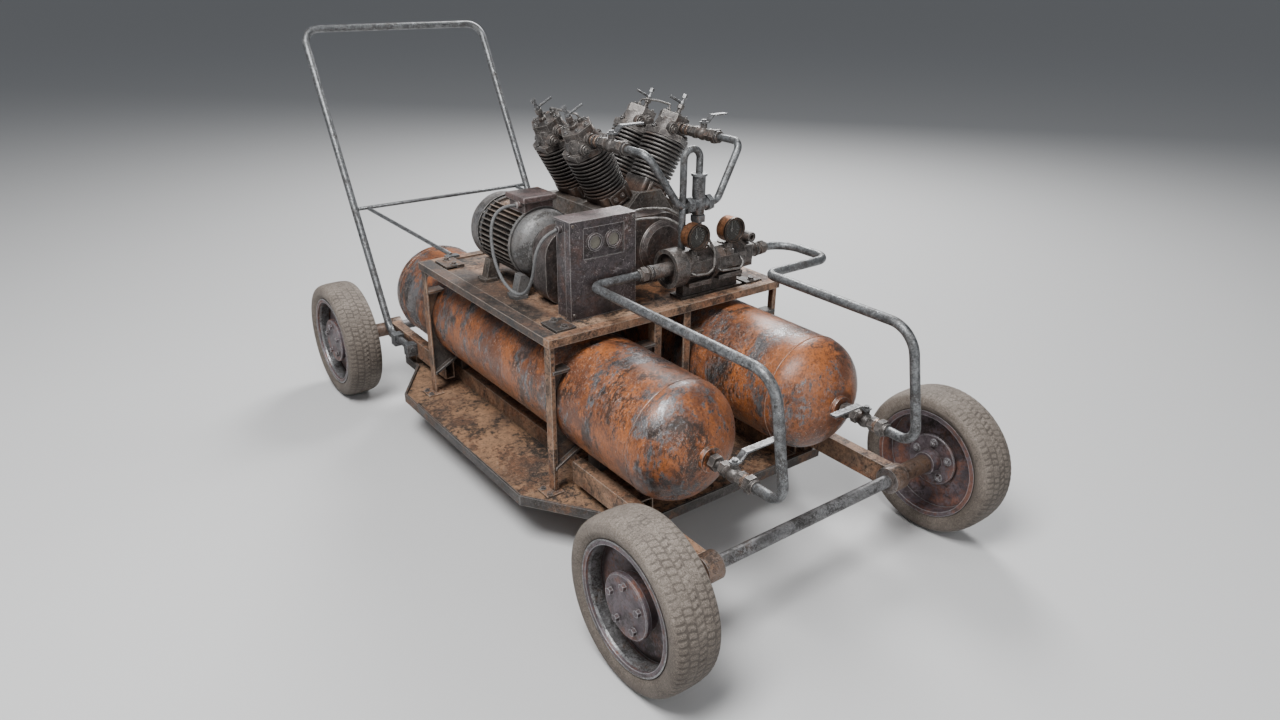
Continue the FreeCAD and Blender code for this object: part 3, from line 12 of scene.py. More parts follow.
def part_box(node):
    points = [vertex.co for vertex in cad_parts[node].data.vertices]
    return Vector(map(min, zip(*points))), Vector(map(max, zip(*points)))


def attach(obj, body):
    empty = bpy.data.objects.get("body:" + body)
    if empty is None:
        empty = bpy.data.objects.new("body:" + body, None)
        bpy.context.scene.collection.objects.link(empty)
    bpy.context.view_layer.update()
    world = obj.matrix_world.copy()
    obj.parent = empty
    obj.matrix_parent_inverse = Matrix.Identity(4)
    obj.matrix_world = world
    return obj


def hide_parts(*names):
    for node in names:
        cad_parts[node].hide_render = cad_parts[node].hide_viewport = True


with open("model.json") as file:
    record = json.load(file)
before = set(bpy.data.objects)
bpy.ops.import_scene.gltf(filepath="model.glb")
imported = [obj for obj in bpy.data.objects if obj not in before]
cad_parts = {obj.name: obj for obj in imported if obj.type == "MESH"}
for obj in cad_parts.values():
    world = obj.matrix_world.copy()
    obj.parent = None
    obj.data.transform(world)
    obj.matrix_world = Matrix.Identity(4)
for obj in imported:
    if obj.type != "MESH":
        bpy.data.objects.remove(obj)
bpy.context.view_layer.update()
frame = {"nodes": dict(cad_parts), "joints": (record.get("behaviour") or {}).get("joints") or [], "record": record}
NODES = frame["nodes"]
SLOT_OF = {row["node"]: row["material_slot"] for row in frame["record"]["subparts"]}
MM = 0.001

CORNERS = ("front_left", "front_right", "rear_left", "rear_right")

# The object's own measures, in millimetres and radians, that the added pieces are placed by.
TANK_X, TANK_Z = 170.0, 300.0
TANK_RINGS = ((-797.5, 7.0), (-812.0, 4.0))
CRANK_X, CRANK_Z = 93.0, 525.0
CYLINDER_YS = (-92.0, 33.0)
LEAN = math.radians(28)
HEAD_FOOT, HEAD_TOP = 232.0, 290.0
FOOT_LOW, FOOT_HIGH = 92.0, 130.0
HEAD_BOLT_R, COVER_BOLT_R = 45.0, 27.0
HEAD_PORT_Y = CYLINDER_YS[0] - 44.0
HEAD_PORT_RISE = HEAD_FOOT + 32.0
VALVE_Y = HEAD_PORT_Y - 72.0
REG_Y, REG_Z = -335.0, 516.0
REG_COLLAR_XS = (-24.0, 269.0)
GAUGE_XS, GAUGE_Z = (68.0, 166.0), 586.0
GAUGE_STEM_Y = -363.0
BOX_X0, BOX_X1 = -207.0, -55.0
BOX_FRONT_Y, BOX_TOP = -322.0, 648.0
METER_XS, METER_Z = (BOX_X0 + 55, BOX_X0 + 99), BOX_TOP - 47
WHEEL_X = 387.0
BACK_PLATE_FACE, BACK_BOLT_R = -15.0, 40.0


# ---- material kit ----
class Shader:
    """A material's node tree, with one short method for each kind of node that the materials use."""

    def __init__(self, name):
        """A new material with its surface and the object's own coordinates at hand."""
        self.material = bpy.data.materials.new(name)
        self.material.use_nodes = True
        self.tree = self.material.node_tree
        self.surface = self.tree.nodes["Principled BSDF"]
        self.place = self.tree.nodes.new("ShaderNodeTexCoord").outputs["Object"]

    def put(self, socket, value):
        """Link a socket, or set a plain number or colour on it."""
        if isinstance(value, bpy.types.NodeSocket):
            self.tree.links.new(value, socket)
        elif isinstance(value, (tuple, list)) and len(value) == 3 and len(socket.default_value) == 4:
            socket.default_value = (*value, 1.0)
        else:
            socket.default_value = value

    def noise(self, scale, detail=6.0, rough=0.6, warp=0.0, stretch=None):
        """Noise in the object's own space; scale is in features per metre."""
        node = self.tree.nodes.new("ShaderNodeTexNoise")
        node.inputs["Scale"].default_value = scale
        node.inputs["Detail"].default_value = detail
        node.inputs["Roughness"].default_value = rough
        node.inputs["Distortion"].default_value = warp
        self.put(node.inputs["Vector"], self.stretched(stretch) if stretch else self.place)
        return node.outputs["Fac"]

    def stretched(self, factors):
        """The object's coordinates scaled by a factor on each axis."""
        node = self.tree.nodes.new("ShaderNodeMapping")
        self.put(node.inputs["Vector"], self.place)
        node.inputs["Scale"].default_value = factors
        return node.outputs["Vector"]

    def step(self, value, low, high):
        """0 below low, 1 above high, smooth between; low above high turns it round."""
        node = self.tree.nodes.new("ShaderNodeMapRange")
        node.interpolation_type = "SMOOTHSTEP"
        self.put(node.inputs["Value"], value)
        first, last = (0.0, 1.0) if low < high else (1.0, 0.0)
        node.inputs["From Min"].default_value = min(low, high)
        node.inputs["From Max"].default_value = max(low, high)
        node.inputs["To Min"].default_value = first
        node.inputs["To Max"].default_value = last
        return node.outputs["Result"]

    def span(self, value, low, high):
        """A 0 to 1 value as a number between low and high."""
        node = self.tree.nodes.new("ShaderNodeMapRange")
        self.put(node.inputs["Value"], value)
        node.inputs["To Min"].default_value = low
        node.inputs["To Max"].default_value = high
        return node.outputs["Result"]

    def math(self, kind, a, b=0.0):
        """One sum on two values, held between 0 and 1."""
        node = self.tree.nodes.new("ShaderNodeMath")
        node.operation = kind
        node.use_clamp = True
        self.put(node.inputs[0], a)
        self.put(node.inputs[1], b)
        return node.outputs["Value"]

    def times(self, a, b):
        """The product, held between 0 and 1."""
        return self.math("MULTIPLY", a, b)

    def plus(self, a, b):
        """The sum, held between 0 and 1."""
        return self.math("ADD", a, b)

    def less(self, a, b):
        """The first less the second, held between 0 and 1."""
        return self.math("SUBTRACT", a, b)

    def most(self, a, b):
        """The larger of the two, held between 0 and 1."""
        return self.math("MAXIMUM", a, b)

    def mix(self, share, a, b):
        """Colour a, turning into colour b as share goes to 1."""
        node = self.tree.nodes.new("ShaderNodeMix")
        node.data_type = "RGBA"
        self.put(node.inputs["Factor"], share)
        self.put(node.inputs["A"], a)
        self.put(node.inputs["B"], b)
        return node.outputs["Result"]

    def edges(self, width):
        """1 on sharp outer edges, found from how far a rounded normal turns from the true one."""
        rounded = self.tree.nodes.new("ShaderNodeBevel")
        rounded.samples = 4
        rounded.inputs["Radius"].default_value = width
        true = self.tree.nodes.new("ShaderNodeNewGeometry").outputs["Normal"]
        dot = self.tree.nodes.new("ShaderNodeVectorMath")
        dot.operation = "DOT_PRODUCT"
        self.put(dot.inputs[0], rounded.outputs["Normal"])
        self.put(dot.inputs[1], true)
        return self.step(dot.outputs["Value"], 0.993, 0.92)

    def recesses(self, reach):
        """1 in corners and crevices."""
        node = self.tree.nodes.new("ShaderNodeAmbientOcclusion")
        node.samples = 4
        node.inputs["Distance"].default_value = reach
        return self.step(node.outputs["AO"], 0.75, 0.25)

    def measure(self, name):
        """A number that the mesh carries at each of its points."""
        node = self.tree.nodes.new("ShaderNodeAttribute")
        node.attribute_name = name
        return node.outputs["Fac"]

    def along(self, axis):
        """A point's place along X, Y or Z of the object's own space, in metres."""
        node = self.tree.nodes.new("ShaderNodeSeparateXYZ")
        self.put(node.inputs["Vector"], self.place)
        return node.outputs[axis]

    def bump(self, height, strength, depth):
        """Tilt the surface by the slope of a height."""
        node = self.tree.nodes.new("ShaderNodeBump")
        node.inputs["Strength"].default_value = strength
        node.inputs["Distance"].default_value = depth
        self.put(node.inputs["Height"], height)
        self.put(self.surface.inputs["Normal"], node.outputs["Normal"])

    def finish(self, colour, roughness, metallic=0.0):
        """Set the surface and give back the material."""
        self.put(self.surface.inputs["Base Color"], colour)
        self.put(self.surface.inputs["Roughness"], roughness)
        self.put(self.surface.inputs["Metallic"], metallic)
        return self.material


# A dark brown, used for real stains and specks and for the painted shade in crevices.
DIRT_AND_SHADE = (0.018, 0.015, 0.013)


def weathered(name, worn, rust, pale, edge, patch=10.0, rusting=0.4, flecks=0.5, edge_width=0.0015,
              metal=0.4, rough=(0.4, 0.75), pits=0.35, grain=(1, 1, 1), staining=0.7, grime=0.55, zones=()):
    """Old metal: worn paint in two tones, rust in three, stains, grime, pale scratches, pale edges that are partly
    worn and partly a painted highlight, and painted shade in its crevices.

    patch is patches per metre, rusting the share that has rusted, grain the stretch of the patches, and
    zones a list of (mask builder, colour, share) that tints parts of the object."""
    s = Shader(name)
    broad = s.noise(patch, 12, 0.62, 0.6, grain)
    middle = s.noise(patch * 3.3, 10, 0.68, 0.9, grain)
    fine = s.noise(patch * 15, 8, 0.74, 0.5, grain)
    grit = s.noise(420, 5, 0.8)
    recess = s.recesses(0.03)

    base = s.mix(s.step(s.noise(patch * 2.1, 10, 0.7, 0.7, grain), 0.42, 0.6), worn[0], worn[1])
    base = s.mix(s.times(s.step(fine, 0.5, 0.62), 0.6), base, worn[1])
    tint = s.mix(s.step(s.noise(patch * 1.4, 9, 0.66, 0.6), 0.43, 0.58), rust[0], rust[1])
    bright = s.step(s.noise(patch * 5, 9, 0.75, 0.8), 0.5, 0.62)
    tint = s.mix(s.times(bright, 0.6), tint, [c * 1.5 for c in rust[0]])
    tint = s.mix(s.times(s.step(fine, 0.48, 0.6), 0.55), tint, [c * 0.7 for c in rust[1]])
    spread = s.plus(s.times(broad, 0.40), s.times(middle, 0.25))
    spread = s.plus(spread, s.times(fine, 0.35))
    limit = 0.5 + 0.22 * (0.5 - rusting)
    rusted = s.most(s.step(spread, limit - 0.03, limit + 0.035), s.times(recess, 0.7))
    colour = s.mix(rusted, base, tint)
    for mask, zone_colour, share in zones:
        blotches = s.span(s.step(spread, 0.44, 0.54), 1.0, 0.65)
        amount = s.times(mask(s), s.times(blotches, share))
        colour = s.mix(amount, colour, zone_colour)

    stain = s.noise(patch * 1.3, 10, 0.68, 0.9, grain)
    stain = s.step(s.plus(s.times(stain, 0.6), s.times(fine, 0.4)), 0.51, 0.575)
    colour = s.mix(s.times(stain, staining), colour, DIRT_AND_SHADE)
    specks = s.step(s.noise(170, 9, 0.82, 0.5, grain), 0.49, 0.6)
    colour = s.mix(s.times(specks, grime), colour, DIRT_AND_SHADE)
    clusters = s.step(s.noise(patch * 0.9, 6, 0.62, 0.4), 0.42, 0.56)
    scratch = s.step(s.noise(150, 8, 0.82, 1.6, grain), 0.555, 0.615)
    scratch = s.times(scratch, s.span(clusters, 0.2, 1.0))
    colour = s.mix(s.times(scratch, flecks), colour, pale)
    # Pale edges: partly real wear, partly a painted highlight laid along every sharp edge.
    worn_and_highlit_edge = s.times(s.edges(edge_width), s.step(s.noise(80, 7, 0.75), 0.32, 0.48))
    colour = s.mix(worn_and_highlit_edge, colour, edge)
    # Painted shade: darker in corners and crevices, where the ambient occlusion finds them.
    colour = s.mix(s.times(recess, 0.65), colour, DIRT_AND_SHADE)

    bare = s.times(s.less(1.0, rusted), metal)
    bare = s.most(bare, s.times(worn_and_highlit_edge, min(1.0, metal + 0.25)))
    roughness = s.span(s.plus(s.times(rusted, 0.4), s.times(fine, 0.6)), *rough)
    relief = s.plus(s.times(grit, 0.4), s.times(fine, 0.6))
    relief = s.less(relief, s.times(s.plus(scratch, stain), 0.15))
    s.bump(relief, pits, 0.0015)
    return s.finish(colour, roughness, bare)


def rubber(name, dark, dust, dusting, painted_top_light=None, cut=None):
    """Old rubber with scuffed fibres of dust. The heights given for the top light are where the rubber turns
    paler, a painted light from above, and cut names the mesh's own measure of how deep its tread is cut; the cuts
    are darkened as painted shade."""
    s = Shader(name)
    cloud = s.noise(16, 9, 0.65, 0.4)
    fibres = s.noise(270, 3, 0.65, 2.5)
    grit = s.noise(650, 3, 0.75)
    clouded = s.times(s.step(cloud, 0.3, 0.68), 0.3)
    share = s.plus(clouded, s.times(s.step(fibres, 0.44, 0.60), 0.7))
    # Painted light from above: the rubber turns paler towards the top.
    if painted_top_light:
        high = s.step(s.along("Z"), *painted_top_light)
        share = s.plus(s.times(share, s.span(high, 0.5, 0.85)), s.times(high, 0.14))
    colour = s.mix(s.times(share, dusting), dark, dust)
    colour = s.mix(s.times(s.step(grit, 0.5, 0.7), 0.4), colour, dark)
    if cut:
        # Painted shade in the tread cuts: the colour darkens where the tread is cut deep.
        in_tread = s.step(s.measure(cut), 0.15, 0.6)
        colour = s.mix(s.times(in_tread, 0.55), colour, [c * 0.6 for c in dark])
    # Painted shade: darker in the rubber's corners and crevices.
    colour = s.mix(s.recesses(0.01), colour, [c * 0.6 for c in dark])
    s.bump(s.plus(s.times(grit, 0.4), s.times(fibres, 0.6)), 0.55, 0.0012)
    return s.finish(colour, s.span(share, 0.7, 0.93))


def clear_glass(name):
    """A faintly dusty window."""
    s = Shader(name)
    s.surface.inputs["Alpha"].default_value = 0.10
    s.surface.inputs["Coat Weight"].default_value = 0.25
    haze = s.noise(130, 6, 0.6)
    s.bump(haze, 0.03, 0.0005)
    return s.finish((0.13, 0.13, 0.12), s.span(haze, 0.08, 0.28))


def ink(name, colour):
    """Printed or painted marks, slightly chipped."""
    s = Shader(name)
    wear = s.noise(700, 5, 0.7)
    s.bump(wear, 0.15, 0.0002)
    worn = s.mix(s.step(wear, 0.62, 0.7), colour, [c * 0.5 for c in colour])
    return s.finish(worn, s.span(wear, 0.45, 0.75))


def beyond(axis, low, high):
    """A zone past a place along an axis; low above high turns it round."""
    return lambda s: s.step(s.along(axis), low, high)


def inside(axis, low, high, soft=0.004):
    """A zone between two places along an axis."""
    def mask(s):
        here = s.along(axis)
        return s.times(s.step(here, low - soft, low + soft), s.step(here, high + soft, high - soft))
    return mask


def both(first, second):
    """The zone that two masks share."""
    return lambda s: s.times(first(s), second(s))


# ---- zones, in metres of the part's own frame ----
AXLE_RIGHT_END = beyond("X", 0.225, 0.232)
AXLE_LEFT_END = beyond("X", -0.225, -0.232)
MOTOR_FRONT_END = beyond("Y", -0.105, -0.109)
MOTOR_REAR_END = beyond("Y", 0.020, 0.024)
MOTOR_CROWN = both(beyond("Z", 0.600, 0.614), inside("Y", -0.106, 0.021))
CYLINDER_FEET = inside("Z", 0.585, 0.645, 0.01)
GAUGE_FRONT = beyond("Y", -0.3745, -0.3755)
BOX_TOP_FACE = beyond("Z", 0.6468, 0.6475)
LEFT_RAIL = both(both(beyond("X", -0.270, -0.274), beyond("Y", -0.371, -0.366)), beyond("Z", 0.40, 0.42))
REAR_RIGHT_HEAD = both(beyond("X", 0.13, 0.16), beyond("Y", -0.03, 0.01))
DECK_BEFORE_GUARD = both(inside("X", -0.06, 0.29, 0.03), inside("Y", -0.31, -0.21, 0.02))
DECK_LEFT_STRIP = both(inside("X", -0.32, -0.222, 0.012), inside("Y", -0.27, 0.11, 0.02))
DECK_FRONT_LEFT = both(beyond("X", -0.03, -0.06), beyond("Y", -0.322, -0.345))


# ---- the finish of each material slot ----
MATERIALS = {
    "plate": weathered(
        "rusted_plate",
        worn=((0.30, 0.17, 0.095), (0.155, 0.092, 0.058)),
        rust=((0.13, 0.062, 0.033), (0.05, 0.033, 0.025)),
        pale=(0.50, 0.36, 0.25), edge=(0.36, 0.30, 0.25),
        patch=5.5, rusting=0.42, flecks=0.45, edge_width=0.002, metal=0.05, rough=(0.55, 0.88),
        pits=0.6, staining=0.9, grime=0.6),
    "frame": weathered(
        "rusted_frame",
        worn=((0.075, 0.068, 0.064), (0.038, 0.034, 0.032)),
        rust=((0.15, 0.078, 0.042), (0.06, 0.036, 0.026)),
        pale=(0.30, 0.26, 0.23), edge=(0.27, 0.26, 0.25),
        patch=9, rusting=0.42, flecks=0.5, edge_width=0.0025, metal=0.3, rough=(0.42, 0.78),
        pits=0.5),
    "axle": weathered(
        "axle_steel",
        worn=((0.21, 0.21, 0.215), (0.115, 0.112, 0.112)),
        rust=((0.15, 0.085, 0.055), (0.08, 0.052, 0.038)),
        pale=(0.44, 0.44, 0.44), edge=(0.34, 0.32, 0.30),
        patch=13, rusting=0.22, flecks=0.5, edge_width=0.002, metal=0.5, rough=(0.38, 0.68),
        pits=0.45,
        zones=(
            (AXLE_RIGHT_END, (0.21, 0.12, 0.072), 0.9),
            (AXLE_LEFT_END, (0.21, 0.12, 0.072), 0.9),
        )),
    "tank": weathered(
        "tank_rust",
        worn=((0.19, 0.185, 0.19), (0.08, 0.077, 0.08)),
        rust=((0.31, 0.098, 0.028), (0.13, 0.045, 0.02)),
        pale=(0.56, 0.46, 0.39), edge=(0.36, 0.30, 0.26),
        patch=6.0, rusting=0.635, flecks=0.75, edge_width=0.002, metal=0.4, rough=(0.18, 0.44),
        pits=0.5, grain=(1.3, 1.9, 0.9), staining=0.85, grime=0.65),
    "tyre": rubber("dusty_tyre", (0.048, 0.036, 0.028), (0.33, 0.283, 0.24), 0.9,
                   painted_top_light=(0.10, 0.30), cut="cut"),
    "wheel": weathered(
        "wheel_steel",
        worn=((0.13, 0.105, 0.118), (0.075, 0.06, 0.068)),
        rust=((0.18, 0.075, 0.05), (0.09, 0.047, 0.04)),
        pale=(0.32, 0.28, 0.27), edge=(0.42, 0.42, 0.43),
        patch=11, rusting=0.42, flecks=0.3, edge_width=0.0025, metal=0.35, rough=(0.40, 0.70),
        pits=0.4, grime=0.4),
    "pipe": weathered(
        "galvanised_pipe",
        worn=((0.225, 0.232, 0.238), (0.115, 0.12, 0.124)),
        rust=((0.06, 0.056, 0.053), (0.034, 0.032, 0.031)),
        pale=(0.50, 0.51, 0.52), edge=(0.44, 0.45, 0.46),
        patch=36, rusting=0.38, flecks=0.75, edge_width=0.0015, metal=0.6, rough=(0.28, 0.58),
        pits=0.45, staining=0.5, grime=0.5),
    "fitting": weathered(
        "dull_fittings",
        worn=((0.17, 0.155, 0.145), (0.08, 0.075, 0.072)),
        rust=((0.105, 0.07, 0.054), (0.052, 0.04, 0.035)),
        pale=(0.42, 0.38, 0.35), edge=(0.42, 0.39, 0.36),
        patch=26, rusting=0.42, flecks=0.5, edge_width=0.0013, metal=0.55, rough=(0.3, 0.62),
        pits=0.4),
    "lever": weathered(
        "bare_lever",
        worn=((0.25, 0.255, 0.26), (0.14, 0.14, 0.145)),
        rust=((0.10, 0.08, 0.066), (0.06, 0.052, 0.046)),
        pale=(0.52, 0.52, 0.52), edge=(0.50, 0.50, 0.50),
        patch=28, rusting=0.28, flecks=0.6, edge_width=0.001, metal=0.65, rough=(0.3, 0.6),
        pits=0.35),
    "motor": weathered(
        "motor_paint",
        worn=((0.125, 0.105, 0.088), (0.065, 0.055, 0.048)),
        rust=((0.115, 0.068, 0.044), (0.058, 0.04, 0.031)),
        pale=(0.36, 0.34, 0.32), edge=(0.32, 0.30, 0.28),
        patch=11, rusting=0.42, flecks=0.7, edge_width=0.0018, metal=0.3, rough=(0.38, 0.7),
        pits=0.45,
        zones=(
            (MOTOR_FRONT_END, (0.155, 0.155, 0.155), 0.95),
            (MOTOR_REAR_END, (0.155, 0.155, 0.158), 0.95),
            (MOTOR_CROWN, (0.42, 0.26, 0.17), 0.7),
        )),
    "rotor": weathered(
        "machined_steel",
        worn=((0.36, 0.36, 0.36), (0.26, 0.26, 0.26)),
        rust=((0.16, 0.10, 0.07), (0.12, 0.08, 0.06)),
        pale=(0.6, 0.6, 0.6), edge=(0.6, 0.6, 0.6),
        patch=14, rusting=0.15, flecks=0.3, edge_width=0.001, metal=0.85, rough=(0.25, 0.5),
        pits=0.2),
    "casting": weathered(
        "dark_castings",
        worn=((0.088, 0.08, 0.075), (0.042, 0.038, 0.037)),
        rust=((0.088, 0.052, 0.038), (0.042, 0.03, 0.026)),
        pale=(0.38, 0.35, 0.32), edge=(0.30, 0.285, 0.27),
        patch=16, rusting=0.36, flecks=0.55, edge_width=0.0018, metal=0.4, rough=(0.34, 0.66),
        pits=0.55,
        zones=((CYLINDER_FEET, (0.20, 0.085, 0.038), 0.4),)),
    "guard": weathered(
        "guard_sheet",
        worn=((0.10, 0.082, 0.078), (0.052, 0.043, 0.042)),
        rust=((0.10, 0.055, 0.04), (0.055, 0.035, 0.03)),
        pale=(0.30, 0.26, 0.24), edge=(0.44, 0.41, 0.38),
        patch=12, rusting=0.40, flecks=0.8, edge_width=0.0025, metal=0.3, rough=(0.28, 0.56),
        pits=0.4),
    "belt": rubber("drive_belt", (0.02, 0.02, 0.02), (0.14, 0.13, 0.12), 0.7),
    "gauge_case": weathered(
        "copper_case",
        worn=((0.60, 0.27, 0.13), (0.38, 0.165, 0.08)),
        rust=((0.16, 0.075, 0.04), (0.09, 0.05, 0.034)),
        pale=(0.80, 0.55, 0.38), edge=(0.42, 0.28, 0.20),
        patch=30, rusting=0.28, flecks=0.4, edge_width=0.001, metal=0.85, rough=(0.24, 0.5),
        pits=0.25,
        zones=((GAUGE_FRONT, (0.04, 0.036, 0.034), 1.4),)),
    "needle": ink("needle_paint", (0.34, 0.34, 0.32)),
    "glass": clear_glass("window_glass"),
    "control_box": weathered(
        "box_paint",
        worn=((0.088, 0.074, 0.078), (0.044, 0.038, 0.042)),
        rust=((0.086, 0.046, 0.038), (0.046, 0.03, 0.029)),
        pale=(0.42, 0.38, 0.375), edge=(0.44, 0.42, 0.41),
        patch=15, rusting=0.38, flecks=0.95, edge_width=0.0025, metal=0.3, rough=(0.26, 0.5),
        pits=0.45,
        zones=((BOX_TOP_FACE, (0.125, 0.082, 0.08), 0.9),)),
    "sense": weathered(
        "thin_tube",
        worn=((0.30, 0.285, 0.27), (0.16, 0.15, 0.142)),
        rust=((0.09, 0.062, 0.048), (0.055, 0.042, 0.036)),
        pale=(0.55, 0.53, 0.50), edge=(0.5, 0.48, 0.46),
        patch=26, rusting=0.26, flecks=0.5, edge_width=0.001, metal=0.55, rough=(0.35, 0.62),
        pits=0.3),
    "cable": rubber("cable_sheath", (0.07, 0.07, 0.07), (0.22, 0.22, 0.222), 0.8),
}


WARM_STEEL = weathered(
    "orange_brown_frame",
    worn=((0.34, 0.195, 0.118), (0.15, 0.095, 0.064)),
    rust=((0.24, 0.11, 0.056), (0.085, 0.048, 0.033)),
    pale=(0.50, 0.38, 0.29), edge=(0.42, 0.35, 0.29),
    patch=10, rusting=0.45, flecks=0.5, edge_width=0.0025, metal=0.15, rough=(0.48, 0.8), pits=0.5,
    staining=0.8,
    zones=((LEFT_RAIL, (0.036, 0.034, 0.034), 1.0),))
CHIPPED_HEADS = weathered(
    "chipped_heads",
    worn=((0.13, 0.118, 0.11), (0.052, 0.047, 0.045)),
    rust=((0.11, 0.064, 0.044), (0.048, 0.034, 0.029)),
    pale=(0.50, 0.46, 0.42), edge=(0.42, 0.39, 0.36),
    patch=20, rusting=0.34, flecks=0.9, edge_width=0.002, metal=0.4, rough=(0.32, 0.62), pits=0.55,
    zones=((REAR_RIGHT_HEAD, (0.27, 0.25, 0.235), 0.6),))
GREY_CRANKCASE = weathered(
    "grey_brown_crankcase",
    worn=((0.15, 0.132, 0.118), (0.07, 0.062, 0.056)),
    rust=((0.13, 0.078, 0.05), (0.06, 0.042, 0.033)),
    pale=(0.46, 0.42, 0.38), edge=(0.42, 0.39, 0.36),
    patch=14, rusting=0.36, flecks=0.7, edge_width=0.0025, metal=0.35, rough=(0.36, 0.68), pits=0.5)
TERMINAL_BOX = weathered(
    "terminal_box",
    worn=((0.15, 0.10, 0.095), (0.075, 0.052, 0.05)),
    rust=((0.14, 0.075, 0.055), (0.07, 0.043, 0.036)),
    pale=(0.42, 0.38, 0.36), edge=(0.44, 0.42, 0.41),
    patch=15, rusting=0.4, flecks=0.6, edge_width=0.0028, metal=0.3, rough=(0.34, 0.62), pits=0.4)
DECK_SHEET = weathered(
    "deck_sheet",
    worn=((0.27, 0.16, 0.098), (0.13, 0.082, 0.056)),
    rust=((0.15, 0.072, 0.038), (0.055, 0.036, 0.028)),
    pale=(0.50, 0.37, 0.27), edge=(0.42, 0.33, 0.26),
    patch=7, rusting=0.45, flecks=0.5, edge_width=0.0025, metal=0.05, rough=(0.52, 0.85), pits=0.6,
    staining=0.9,
    zones=(
        (DECK_BEFORE_GUARD, (0.30, 0.125, 0.048), 0.7),
        (DECK_LEFT_STRIP, (0.04, 0.03, 0.026), 0.95),
        (DECK_FRONT_LEFT, (0.42, 0.27, 0.175), 0.7),
    ))
FINISH_OF = {
    "deck_plate": DECK_SHEET,
    "deck_rails": WARM_STEEL,
    "deck_posts": WARM_STEEL,
    "frame_beams": WARM_STEEL,
    "cylinder_heads": CHIPPED_HEADS,
    "crankcase": GREY_CRANKCASE,
    "terminal_box": TERMINAL_BOX}


def dress_frame():
    """Give every CAD node its finish and slightly rounded edges."""
    for name, node in NODES.items():
        slot = SLOT_OF[name]
        for place in node.material_slots:
            place.material = FINISH_OF.get(name, MATERIALS[slot])
        weld = node.modifiers.new("join", "WELD")
        weld.merge_threshold = 0.00001
        bevel = node.modifiers.new("soft_edges", "BEVEL")
        bevel.width = 0.0008
        bevel.segments = 2
        bevel.limit_method = "ANGLE"
        bevel.angle_limit = math.radians(40)
        bevel.harden_normals = True


def new_piece(name, mesh, slot, body):
    """A mesh as a piece of the object, with its slot's finish, riding on a body."""
    piece = bpy.data.objects.new(name, mesh)
    bpy.context.scene.collection.objects.link(piece)
    mesh.materials.append(MATERIALS[slot])
    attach(piece, body)
    return piece


# ---- tyres ----
TREAD_AROUND = 456
WALL_TURN = 122
BEAD_SHARE = 0.86
SIDE_GAP, CROWN_GAP = 0.0012, 0.0002
TREAD_BLOCKS = 76
TREAD_DEPTH = 0.0015
TREAD_ROWS = 5
TREAD_SHARE = 0.62
SECTION_STEPS = 60
BEAD_R = 0.1172


def tyre_profile(turn, half_width, outer_r):
    """A place (across, radius) on a squared oval; turn is 0 at the crown."""
    middle, rise = (outer_r + BEAD_R) / 2, (outer_r - BEAD_R) / 2
    across = half_width * math.copysign(abs(math.sin(turn)) ** 0.62, math.sin(turn))
    radius = middle + rise * math.copysign(abs(math.cos(turn)) ** 0.66, math.cos(turn))
    return Vector((across, radius))


def tyre_section(half_width, outer_r):
    """A tyre's profile in even steps, wall to wall, as (across, radius, share across the tread)."""
    turns = [math.radians(-WALL_TURN + 0.5 * k) for k in range(4 * WALL_TURN + 1)]
    fine = [tyre_profile(turn, half_width, outer_r) for turn in turns]
    lengths = [0.0]
    for before, after in zip(fine, fine[1:]):
        lengths.append(lengths[-1] + (after - before).length)
    points = [(-half_width * BEAD_SHARE, BEAD_R, None)]
    k = 0
    for step in range(SECTION_STEPS + 1):
        place = lengths[-1] * step / SECTION_STEPS
        while k < len(lengths) - 1 and lengths[k] < place:
            k += 1
        share = (2 * step / SECTION_STEPS - 1) / TREAD_SHARE
        points.append((fine[k].x, fine[k].y, share if abs(share) < 1 else None))
    points.append((half_width * BEAD_SHARE, BEAD_R, None))
    return points


def tread_depth(around, share, wear):
    """How deep the tread is cut at a place, from 0 to 1: soft lines between staggered, worn blocks."""
    row_place = (share + 1) / 2 * TREAD_ROWS
    row = min(TREAD_ROWS - 1, int(row_place))
    block_place = around * TREAD_BLOCKS + 0.5 * (row % 2) + 0.10 * math.sin(2 * math.pi * share * 1.5)
    amount = wear[row][int(block_place) % TREAD_BLOCKS]
    across_line = abs(math.cos(math.pi * block_place)) ** 6
    round_line = abs(math.cos(math.pi * row_place)) ** 10 if 0.5 < row_place < TREAD_ROWS - 0.5 else 0.0
    return max(across_line * (0.4 + 0.6 * amount), round_line * (0.3 + 0.6 * amount))


def tyre_mesh(name, centre, half_width, outer_r):
    """A tyre whose crown carries staggered tread blocks cut by thin lines."""
    rnd = random.Random(name)
    wear = [[rnd.random() for _ in range(TREAD_BLOCKS)] for _ in range(TREAD_ROWS)]
    section = tyre_section(half_width, outer_r)
    shape = bmesh.new()
    cut = shape.verts.layers.float.new("cut")
    rings = []
    for k in range(TREAD_AROUND):
        turn = 2 * math.pi * k / TREAD_AROUND
        left_over = 0.30 + 0.35 * (1 - math.cos(turn))
        row = []
        for u, r, share in section:
            depth = 0.0 if share is None else left_over * tread_depth(k / TREAD_AROUND, share, wear)
            r -= depth * TREAD_DEPTH
            vert = shape.verts.new((u, r * math.cos(turn), r * math.sin(turn)))
            vert[cut] = depth
            row.append(vert)
        rings.append(row)
    for k in range(TREAD_AROUND):
        here, after = rings[k], rings[(k + 1) % TREAD_AROUND]
        for j in range(len(section)):
            m = (j + 1) % len(section)
            face = shape.faces.new((here[j], here[m], after[m], after[j]))
            face.smooth = True
    bmesh.ops.recalc_face_normals(shape, faces=shape.faces)
    bmesh.ops.translate(shape, verts=shape.verts, vec=centre)
    mesh = bpy.data.meshes.new(name)
    shape.to_mesh(mesh)
    shape.free()
    return mesh


